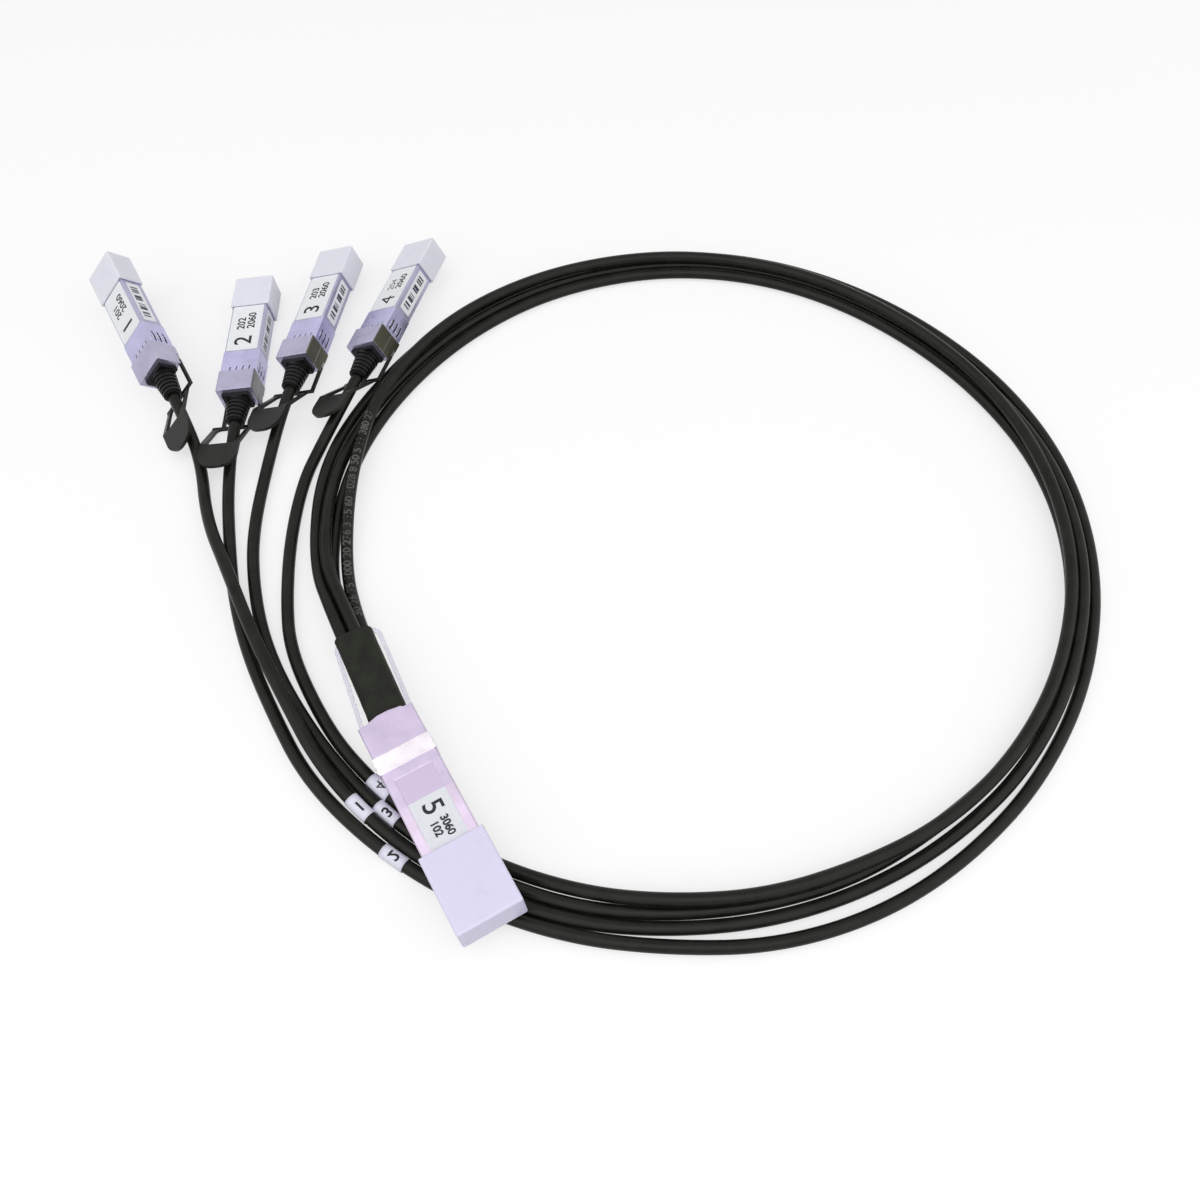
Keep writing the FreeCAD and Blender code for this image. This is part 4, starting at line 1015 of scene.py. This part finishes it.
@dataclass
class FoldedSprings:
    """The wide plug's two folded return springs, made as they lie at rest; the real ones fold up as
    the latch slides back.
    """

    start: float = 31.0
    pitch: float = 1.15
    wire: float = 0.3
    rows: int = 7
    levels: tuple[float, float] = (4.55, 5.65)
    depths: tuple[float, float] = (8.5, 9.0)
    closed: float = 0.575

    def path(self) -> list[Vector]:
        """The folded line along the plug and up, in millimetres."""
        half = self.wire / 2
        low, high = self.levels
        points = []
        for row in range(self.rows):
            along = self.start + half + self.pitch * row
            ends = [high - half, low + half] if row % 2 == 0 else [low + half, high - half]
            points += [Vector((along, level)) for level in ends]
        points[0].y = high
        points[-1].y = low
        return points

    def strip(self, near: float, far: float) -> Piece:
        """One spring between two depths across the plug.

        Args:
            near: the first face's place across the plug in millimetres.
            far: the second face's.

        Returns:
            The spring.
        """
        points = self.path()
        legs = [(after - before).normalized() for before, after in zip(points, points[1:])]
        seat = SEATS[Plug.QUAD].matrix()
        rings = []
        for index, point in enumerate(points):
            meeting = legs[max(index - 1, 0):index + 1]
            reach = sum((Vector((-leg.y, leg.x)) for leg in meeting), Vector((0, 0)))
            reach *= self.wire / 2
            corners = [(near, point + reach), (far, point + reach),
                       (far, point - reach), (near, point - reach)]
            rings.append([seat @ (Vector((x, *spot)) * MM) for x, spot in corners])
        return Bench.sleeve(rings, capped=True)

    def build(self, finishes: Finishes) -> Piece:
        """Make both springs as one piece.

        Args:
            finishes: the materials.

        Returns:
            The springs.
        """
        near, far = self.depths
        other = self.strip(-near, -far)
        piece = self.strip(near, far)
        other.select_set(True)
        bpy.ops.object.join()
        Bench.break_edges(piece, 0.04)
        Bench.keep(piece, "quad_return_springs", finishes.steel, "spring_steel")
        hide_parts("quad_latch_springs")
        seat = SEATS[Plug.QUAD].matrix()
        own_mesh(piece)
        return piece


# Labels


@dataclass
class Sticker:
    """A thin paper label on a flat face of a plug, with rounded corners."""

    plug: Plug
    name: str
    centre: Point
    size: tuple[float, float]
    side: bool = False
    thick: float = 0.08
    corner: float = 0.5

    def build(self, finish: Material) -> Piece:
        """Make the label.

        Args:
            finish: its paper.

        Returns:
            The label.
        """
        Bench.clear()
        bpy.ops.mesh.primitive_plane_add(size=1.0)
        piece = bpy.context.object
        width, length = self.size
        piece.scale = (width * MM, length * MM, 1.0)
        bpy.ops.object.transform_apply(location=False, rotation=False, scale=True)
        bpy.ops.object.mode_set(mode="EDIT")
        bpy.ops.mesh.select_all(action="SELECT")
        bpy.ops.mesh.bevel(offset=self.corner * MM, segments=4, affect="VERTICES")
        bpy.ops.mesh.extrude_region_move(TRANSFORM_OT_translate={"value": (0, 0, self.thick * MM)})
        bpy.ops.mesh.select_all(action="SELECT")
        bpy.ops.mesh.normals_make_consistent(inside=False)
        bpy.ops.object.mode_set(mode="OBJECT")
        lean = Matrix.Rotation(math.radians(90), 4, "Y") if self.side else Matrix.Identity(4)
        piece.matrix_world = SEATS[self.plug].at(self.centre) @ lean
        return Bench.keep(piece, self.plug.value + "_" + self.name, finish, "label_white")


# Plugs


# Painted shade and reflection on the right sides of the narrow plugs' rear blocks, from bright to
# dark; it shows from every side
PAINTED_SIDE_SHADES: dict[Plug, Colour] = {
    Plug.LEG1: (0.5, 0.48, 0.62), Plug.LEG2: (0.2, 0.19, 0.2),
    Plug.LEG3: (0.13, 0.125, 0.08), Plug.LEG4: (0.09, 0.085, 0.06),
}


@dataclass
class DressedPlug:
    """What both kinds of plug share: finishes for their CAD nodes and digits on their labels."""

    plug: Plug
    top: float
    board_tip: float
    bold: float = 0.09

    def wear(self, finish: Material, *parts: str) -> None:
        """Give CAD nodes of this plug a finish, by the last words of their names."""
        for part in parts:
            dress(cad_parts[self.plug.value + "_" + part], finish)

    def board(self) -> None:
        """Dress the circuit board."""
        name = self.plug.value + "_board"
        self.wear(CircuitBoard(name, SEATS[self.plug], self.board_tip).build(), "circuit_board")

    def digits(self, ink: Material, *rows: tuple[str, str, Point, float]) -> None:
        """Print rows of plain digits, thin raised sheets on the label that read along the plug.

        Args:
            ink: their ink.
            rows: text, piece name, place above the top in millimetres and height of each.
        """
        turned = Matrix.Rotation(math.radians(90), 4, "Z")
        for text, name, (across, along, rise), height in rows:
            piece = printed(text, height, self.bold)
            piece.matrix_world = SEATS[self.plug].at((across, along, self.top + rise)) @ turned
            Bench.keep(piece, self.plug.value + "_" + name, ink, "label_white")


@dataclass
class NarrowPlug(DressedPlug):
    """One narrow plug: its CAD nodes dressed, its labels added."""

    top: float = 9.45
    board_tip: float = 0.0563
    half: float = 6.775
    plating: Colour = (0.48, 0.46, 0.62)
    # Painted shade: the casting under the contact collar is dark and not metallic, so the collar's
    # slits look like openings in shadow.
    painted_shade_under_collar: Zone = Zone((-9, 9), (10.2, 20.4), (0.006, 0.006, 0.008), dull=True)
    label: tuple[float, float] = (12.2, 23.4)
    label_at: tuple[float, float] = (-0.3, 33.05)
    side_label: tuple[float, float] = (5.4, 21.0)
    side_label_at: tuple[float, float] = (33.0, 5.1)
    bars: tuple[tuple[float, float], ...] = (
        (0.0245, 0.0272), (0.0285, 0.0322), (0.0338, 0.0366), (0.038, 0.0415))
    bars_high: tuple[float, float] = (0.0038, 0.0068)

    def build(self, finishes: Finishes) -> None:
        """Dress the nodes and add the labels.

        Args:
            finishes: the materials.
        """
        name = self.plug.value
        seat = SEATS[self.plug]
        # Painted shade and reflection on the right side of the rear block.
        painted_block_side = Zone((6.6, 9), (-3, 9.3), PAINTED_SIDE_SHADES[self.plug])
        casting = PlatedMetal(name + "_plating", self.plating, seat=seat,
                              zones=(self.painted_shade_under_collar, painted_block_side)).build()
        self.wear(casting, "top_shell", "bottom_shell")
        self.wear(finishes.collar, "contact_collar")
        self.wear(finishes.steel, "latch_slider", "return_spring", "screws")
        self.wear(finishes.tab, "pull_tab")
        self.wear(finishes.boot, "boot")
        self.wear(finishes.cap, "dust_cap")
        self.board()
        paper = PrintedPaper(name + "_label_paper", seat).build()
        Sticker(self.plug, "top_label", (*self.label_at, self.top), self.label).build(paper)
        coded = PrintedPaper(name + "_side_paper", seat, self.bars, self.bars_high).build()
        Sticker(self.plug, "side_label", (self.half, *self.side_label_at), self.side_label,
                side=True).build(coded)
        number = name[-1]
        self.digits(finishes.ink, (number, "top_digit", (0, 26.2, 0.085), 9.5),
                    ("20" + number, "code_digits", (-2.0, 35.4, 0.085), 4.2),
                    ("2060", "lower_digits", (1.9, 36.6, 0.085), 4.2))
        LOG.info("%s dressed", name)


@dataclass
class WidePlug(DressedPlug):
    """The wide plug: its CAD nodes dressed, its label lengthened and printed."""

    plug: Plug = Plug.QUAD
    top: float = 10.5
    board_tip: float = 0.0687
    film_end: float = 0.0308
    paper: Colour = (0.81, 0.83, 0.88)

    def build(self, finishes: Finishes) -> None:
        """Dress the nodes, add the label's end and print the digits.

        Args:
            finishes: the materials.
        """
        self.wear(finishes.quad, "top_shell", "bottom_shell")
        self.wear(finishes.band, "contact_band")
        self.wear(finishes.steel, "latch_slider", "latch_springs", "screws", "cable_clamp")
        self.wear(finishes.loop, "pull_tab")
        self.wear(finishes.wide_cap, "dust_cap")
        self.board()
        paper = PrintedPaper("quad_label_paper", SEATS[self.plug], clear=self.film_end,
                             colour=self.paper).build()
        self.wear(paper, "label")
        Sticker(self.plug, "label_tail", (0, 45.95, self.top), (12.0, 3.9), corner=0.1).build(paper)
        self.digits(finishes.ink, ("5", "top_digit", (0, 35.0, -0.04), 9.0),
                    ("102", "code_digits", (1.8, 41.9, 0.1), 3.4),
                    ("3060", "lower_digits", (-1.6, 42.3, 0.1), 3.4))
        LOG.info("wide plug dressed")


# Studio


@dataclass(frozen=True)
class Lamp:
    """A soft square lamp aimed at the middle of the loop, in metres and watts."""

    name: str
    place: Point
    power: float
    size: float = 1.8
    aim: Point = (0.1, 0.0, 0.0)

    def build(self) -> None:
        """Hang the lamp."""
        data = bpy.data.lights.new(self.name, "AREA")
        data.size = self.size
        data.energy = self.power
        lamp = bpy.data.objects.new(self.name, data)
        lamp.location = self.place
        way = Vector(self.aim) - Vector(self.place)
        lamp.rotation_euler = way.to_track_quat("-Z", "Y").to_euler()
        bpy.context.collection.objects.link(lamp)


@dataclass
class Studio:
    """Pale floor, soft lamps, white surround and the camera.

    The camera stands at a point in millimetres. From floor_near to floor_far, in metres from the
    middle, the floor goes from a grey that takes the shadow to plain white.
    """

    camera: Point = (110.56, -240.732, 342.92)
    pitch: float = 57.49
    lens: float = 35.91
    lamps: tuple[Lamp, ...] = (Lamp("key", (-0.45, -0.5, 0.95), 9.8),
                               Lamp("fill", (0.8, -0.35, 0.8), 8.2))
    floor_size: float = 30.0
    floor_down: float = 0.0002
    floor_near: float = 0.42
    floor_far: float = 1.1
    floor_grey: float = 0.4
    floor_glow: float = 0.63
    surround_light: float = 0.35

    def build(self) -> None:
        """Make the studio."""
        self.floor()
        self.surround()
        for lamp in self.lamps:
            lamp.build()
        data = bpy.data.cameras.new("camera")
        data.lens = self.lens
        data.sensor_width = 36.0
        data.clip_start = 0.01
        camera = bpy.data.objects.new("camera", data)
        camera.location = Vector(self.camera) * MM
        camera.rotation_euler = Euler((math.radians(90 - self.pitch), 0, 0))
        bpy.context.collection.objects.link(camera)
        bpy.context.scene.camera = camera
        bpy.context.scene.view_settings.view_transform = "Standard"

    @staticmethod
    def seen(tree: bpy.types.NodeTree) -> Socket:
        """Factor that is 1 on camera, glossy and transmission rays.

        Args:
            tree: a material's or the world's node tree.

        Returns:
            The factor's socket.
        """
        path = tree.nodes.new("ShaderNodeLightPath")
        seen = path.outputs["Is Camera Ray"]
        for ray in ("Is Glossy Ray", "Is Transmission Ray"):
            either = tree.nodes.new("ShaderNodeMath")
            either.operation = "MAXIMUM"
            tree.links.new(seen, either.inputs[0])
            tree.links.new(path.outputs[ray], either.inputs[1])
            seen = either.outputs[0]
        return seen

    def floor(self) -> None:
        """A wide floor that keeps the object's shadow and turns plain white away from it."""
        Bench.clear()
        bpy.ops.mesh.primitive_plane_add(size=self.floor_size, location=(0, 0, -self.floor_down))
        floor = bpy.context.object
        floor.name = "floor"
        graph = Graph("pale_floor")
        reach = graph.add("ShaderNodeVectorMath", operation="LENGTH")
        graph.join(graph.place(), reach.inputs[0])
        far = graph.spread(reach.outputs["Value"], 0.0, 1.0, self.floor_near, self.floor_far)
        plain = graph.add("ShaderNodeBsdfDiffuse")
        grey = (self.floor_grey,) * 3
        graph.join(graph.blend(far, grey, (0.0, 0.0, 0.0)), plain.inputs["Color"])
        glow = graph.add("ShaderNodeEmission")
        level = graph.math("MULTIPLY", self.seen(graph.tree),
                           graph.spread(far, self.floor_glow, 1.0, 0.0, 1.0))
        graph.join(level, glow.inputs["Strength"])
        both = graph.add("ShaderNodeAddShader")
        graph.join(plain.outputs[0], both.inputs[0])
        graph.join(glow.outputs[0], both.inputs[1])
        graph.join(both.outputs[0], graph.output.inputs["Surface"])
        floor.data.materials.append(graph.material)

    def surround(self) -> None:
        """White where it is seen or mirrored, and a softer level as light."""
        world = bpy.data.worlds.new("surround")
        world.use_nodes = True
        tree = world.node_tree
        tree.nodes.clear()
        out = tree.nodes.new("ShaderNodeOutputWorld")
        sky = tree.nodes.new("ShaderNodeBackground")
        level = tree.nodes.new("ShaderNodeMapRange")
        level.inputs["To Min"].default_value = self.surround_light
        level.inputs["To Max"].default_value = 1.0
        tree.links.new(self.seen(tree), level.inputs["Value"])
        tree.links.new(level.outputs["Result"], sky.inputs["Strength"])
        sky.inputs["Color"].default_value = (1, 1, 1, 1)
        tree.links.new(sky.outputs[0], out.inputs["Surface"])
        bpy.context.scene.world = world


# Control points of the four cables, in millimetres
ROUTES: dict[Plug, list[Point]] = {
    Plug.LEG1: [
        (48.6, -76.5, 11.3), (37.9, -54.3, 9.5), (27.0, -31.8, 7.9), (15.5, -8.8, 6.9),
        (14.3, 31.7, 3.0), (27.4, 67.1, 2.2), (52.0, 101.4, 2.2), (85.8, 126.8, 2.2),
        (125.7, 139.6, 2.2), (163.3, 139.4, 2.2), (198.7, 128.1, 2.2), (231.7, 105.0, 2.2),
        (258.7, 72.3, 3.2), (274.7, 33.1, 5.4), (276.5, -11.2, 6.0), (264.0, -52.8, 5.7),
        (242.5, -86.3, 3.4), (215.7, -109.2, 2.2), (188.5, -124.4, 2.2), (159.7, -133.4, 2.2),
        (130.6, -136.1, 2.2), (102.5, -133.9, 2.2), (73.7, -124.1, 2.6), (47.9, -108.9, 2.9),
        (25.2, -87.2, 5.5), (10.4, -63.1, 7.1), (-3.0, -40.3, 7.2), (-15.5, -14.7, 7.1),
        (-27.7, 9.1, 3.6), (-34.4, 35.9, 3.2), (-43.2, 53.8, 10.1), (-53.8, 72.4, 11.6),
    ],
    Plug.LEG2: [
        (44.8, -78.6, 11.0), (33.9, -56.1, 9.2), (22.9, -33.7, 7.6), (11.8, -8.5, 2.4),
        (9.5, 33.6, 2.2), (23.4, 70.0, 2.2), (48.9, 105.4, 2.2), (84.0, 131.3, 2.2),
        (125.1, 144.4, 2.2), (163.9, 144.2, 2.2), (200.4, 132.6, 2.2), (234.8, 109.3, 2.2),
        (263.2, 75.9, 2.2), (279.9, 35.0, 2.2), (281.3, -11.1, 2.2), (268.7, -54.2, 2.2),
        (246.7, -89.2, 2.2), (219.9, -114.6, 2.2), (191.6, -131.7, 2.2), (160.7, -140.7, 2.2),
        (130.0, -141.2, 2.2), (101.0, -137.9, 2.2), (71.1, -127.8, 2.6), (44.5, -111.9, 2.8),
        (20.6, -89.8, 2.3), (5.7, -65.2, 2.2), (-5.7, -43.1, 2.2), (-13.6, -21.2, 2.2),
        (-18.7, 1.2, 2.2), (-22.7, 22.2, 2.2), (-23.7, 43.7, 6.0), (-24.3, 65.2, 6.0),
    ],
    Plug.LEG3: [
        (46.9, -77.6, 7.3), (36.2, -55.4, 5.6), (25.3, -33.0, 3.3), (17.4, -9.0, 2.2),
        (18.9, 29.9, 2.2), (31.4, 64.1, 2.2), (55.1, 97.3, 2.2), (87.6, 122.3, 2.2),
        (126.3, 134.9, 2.2), (162.8, 134.7, 2.2), (197.1, 123.6, 2.2), (228.9, 100.9, 2.2),
        (255.1, 69.4, 2.2), (271.6, 31.6, 2.2), (273.7, -11.5, 2.2), (261.2, -52.1, 2.2),
        (238.6, -83.6, 2.2), (212.2, -104.8, 2.2), (186.8, -120.2, 2.2), (159.1, -128.7, 2.2),
        (131.3, -131.6, 2.2), (104.1, -129.8, 2.2), (76.3, -120.4, 2.6), (51.3, -105.8, 2.8),
        (29.1, -85.0, 2.3), (12.0, -62.3, 2.2), (0.2, -41.1, 2.2), (-6.9, -19.6, 2.2),
        (-11.1, 4.6, 2.2), (-10.2, 37.1, 2.2), (-6.4, 58.8, 8.1), (-3.0, 80.0, 8.1),
    ],
    Plug.LEG4: [
        (50.8, -75.4, 7.6), (40.2, -53.5, 5.9), (29.4, -31.1, 3.6), (23.0, -9.4, 3.0),
        (21.5, 29.0, 6.9), (27.6, 66.9, 7.0), (50.4, 103.4, 7.0), (85.3, 128.1, 7.0),
        (125.7, 139.6, 7.0), (163.2, 138.5, 7.0), (198.3, 126.9, 7.0), (230.5, 103.2, 7.0),
        (256.5, 70.5, 7.1), (270.8, 31.3, 7.2), (272.2, -11.7, 7.1), (259.8, -51.8, 7.0),
        (238.6, -83.6, 7.0), (213.0, -105.8, 7.0), (186.2, -118.9, 7.0), (158.9, -127.4, 7.0),
        (131.6, -129.2, 7.0), (105.7, -125.4, 3.0), (78.8, -116.7, 2.7), (54.9, -102.8, 2.8),
        (33.0, -82.8, 2.4), (20.7, -65.9, 2.2), (8.7, -43.1, 2.2), (4.8, -23.6, 2.2),
        (2.6, 1.2, 2.2), (3.7, 26.8, 2.2), (7.9, 43.3, 2.3), (17.4, 63.9, 9.2), (23.5, 84.5, 9.2),
    ],
}

LENGTHS: dict[Plug, float] = {Plug.LEG1: 1030, Plug.LEG2: 1046, Plug.LEG3: 999, Plug.LEG4: 1003}

# Plain numbers along leg 4's jacket
JACKET_TEXT = "30 26 75 1000 20 276 3 15 60 1028 8 50 5 11 380 27"


def prints_of(cable: Cable, wrap: MarkerWrap, finishes: Finishes) -> list[Piece]:
    """Print a cable's marker and, on leg 4, its jacket.

    Args:
        cable: the cable.
        wrap: its marker wrap.
        finishes: the materials.

    Returns:
        The printed pieces.
    """
    number = cable.plug.value[-1]
    prints = [JacketPrint(cable, number, "marker_digit", wrap.middle(), wrap.radius(), 5.0,
                          0.12).build(finishes.ink)]
    if cable.plug is Plug.LEG4:
        row = JacketPrint(cable, JACKET_TEXT, "jacket_digits", 0.092, cable.radius(), 4.1,
                          lean=10.0, along_cable=True)
        prints.append(row.build(finishes.print))
    return prints


def main() -> None:
    """Build the cable's looks and the studio."""
    logging.basicConfig(level=logging.INFO, format="%(name)s: %(message)s")
    finishes = Finishes()
    WidePlug().build(finishes)
    for plug in LEGS:
        NarrowPlug(plug).build(finishes)
    ShrunkSleeve().build(finishes)
    FoldedSprings().build(finishes)
    for plug in LEGS:
        cable = Cable(plug, LENGTHS[plug], ROUTES[plug])
        piece = cable.build(finishes)
        wrap = MarkerWrap(cable)
        label = wrap.build()
        prints = prints_of(cable, wrap, finishes)
        tuple(cable.at(0.005)[0])
    Studio().build()


if __name__ == "__main__":
    main()
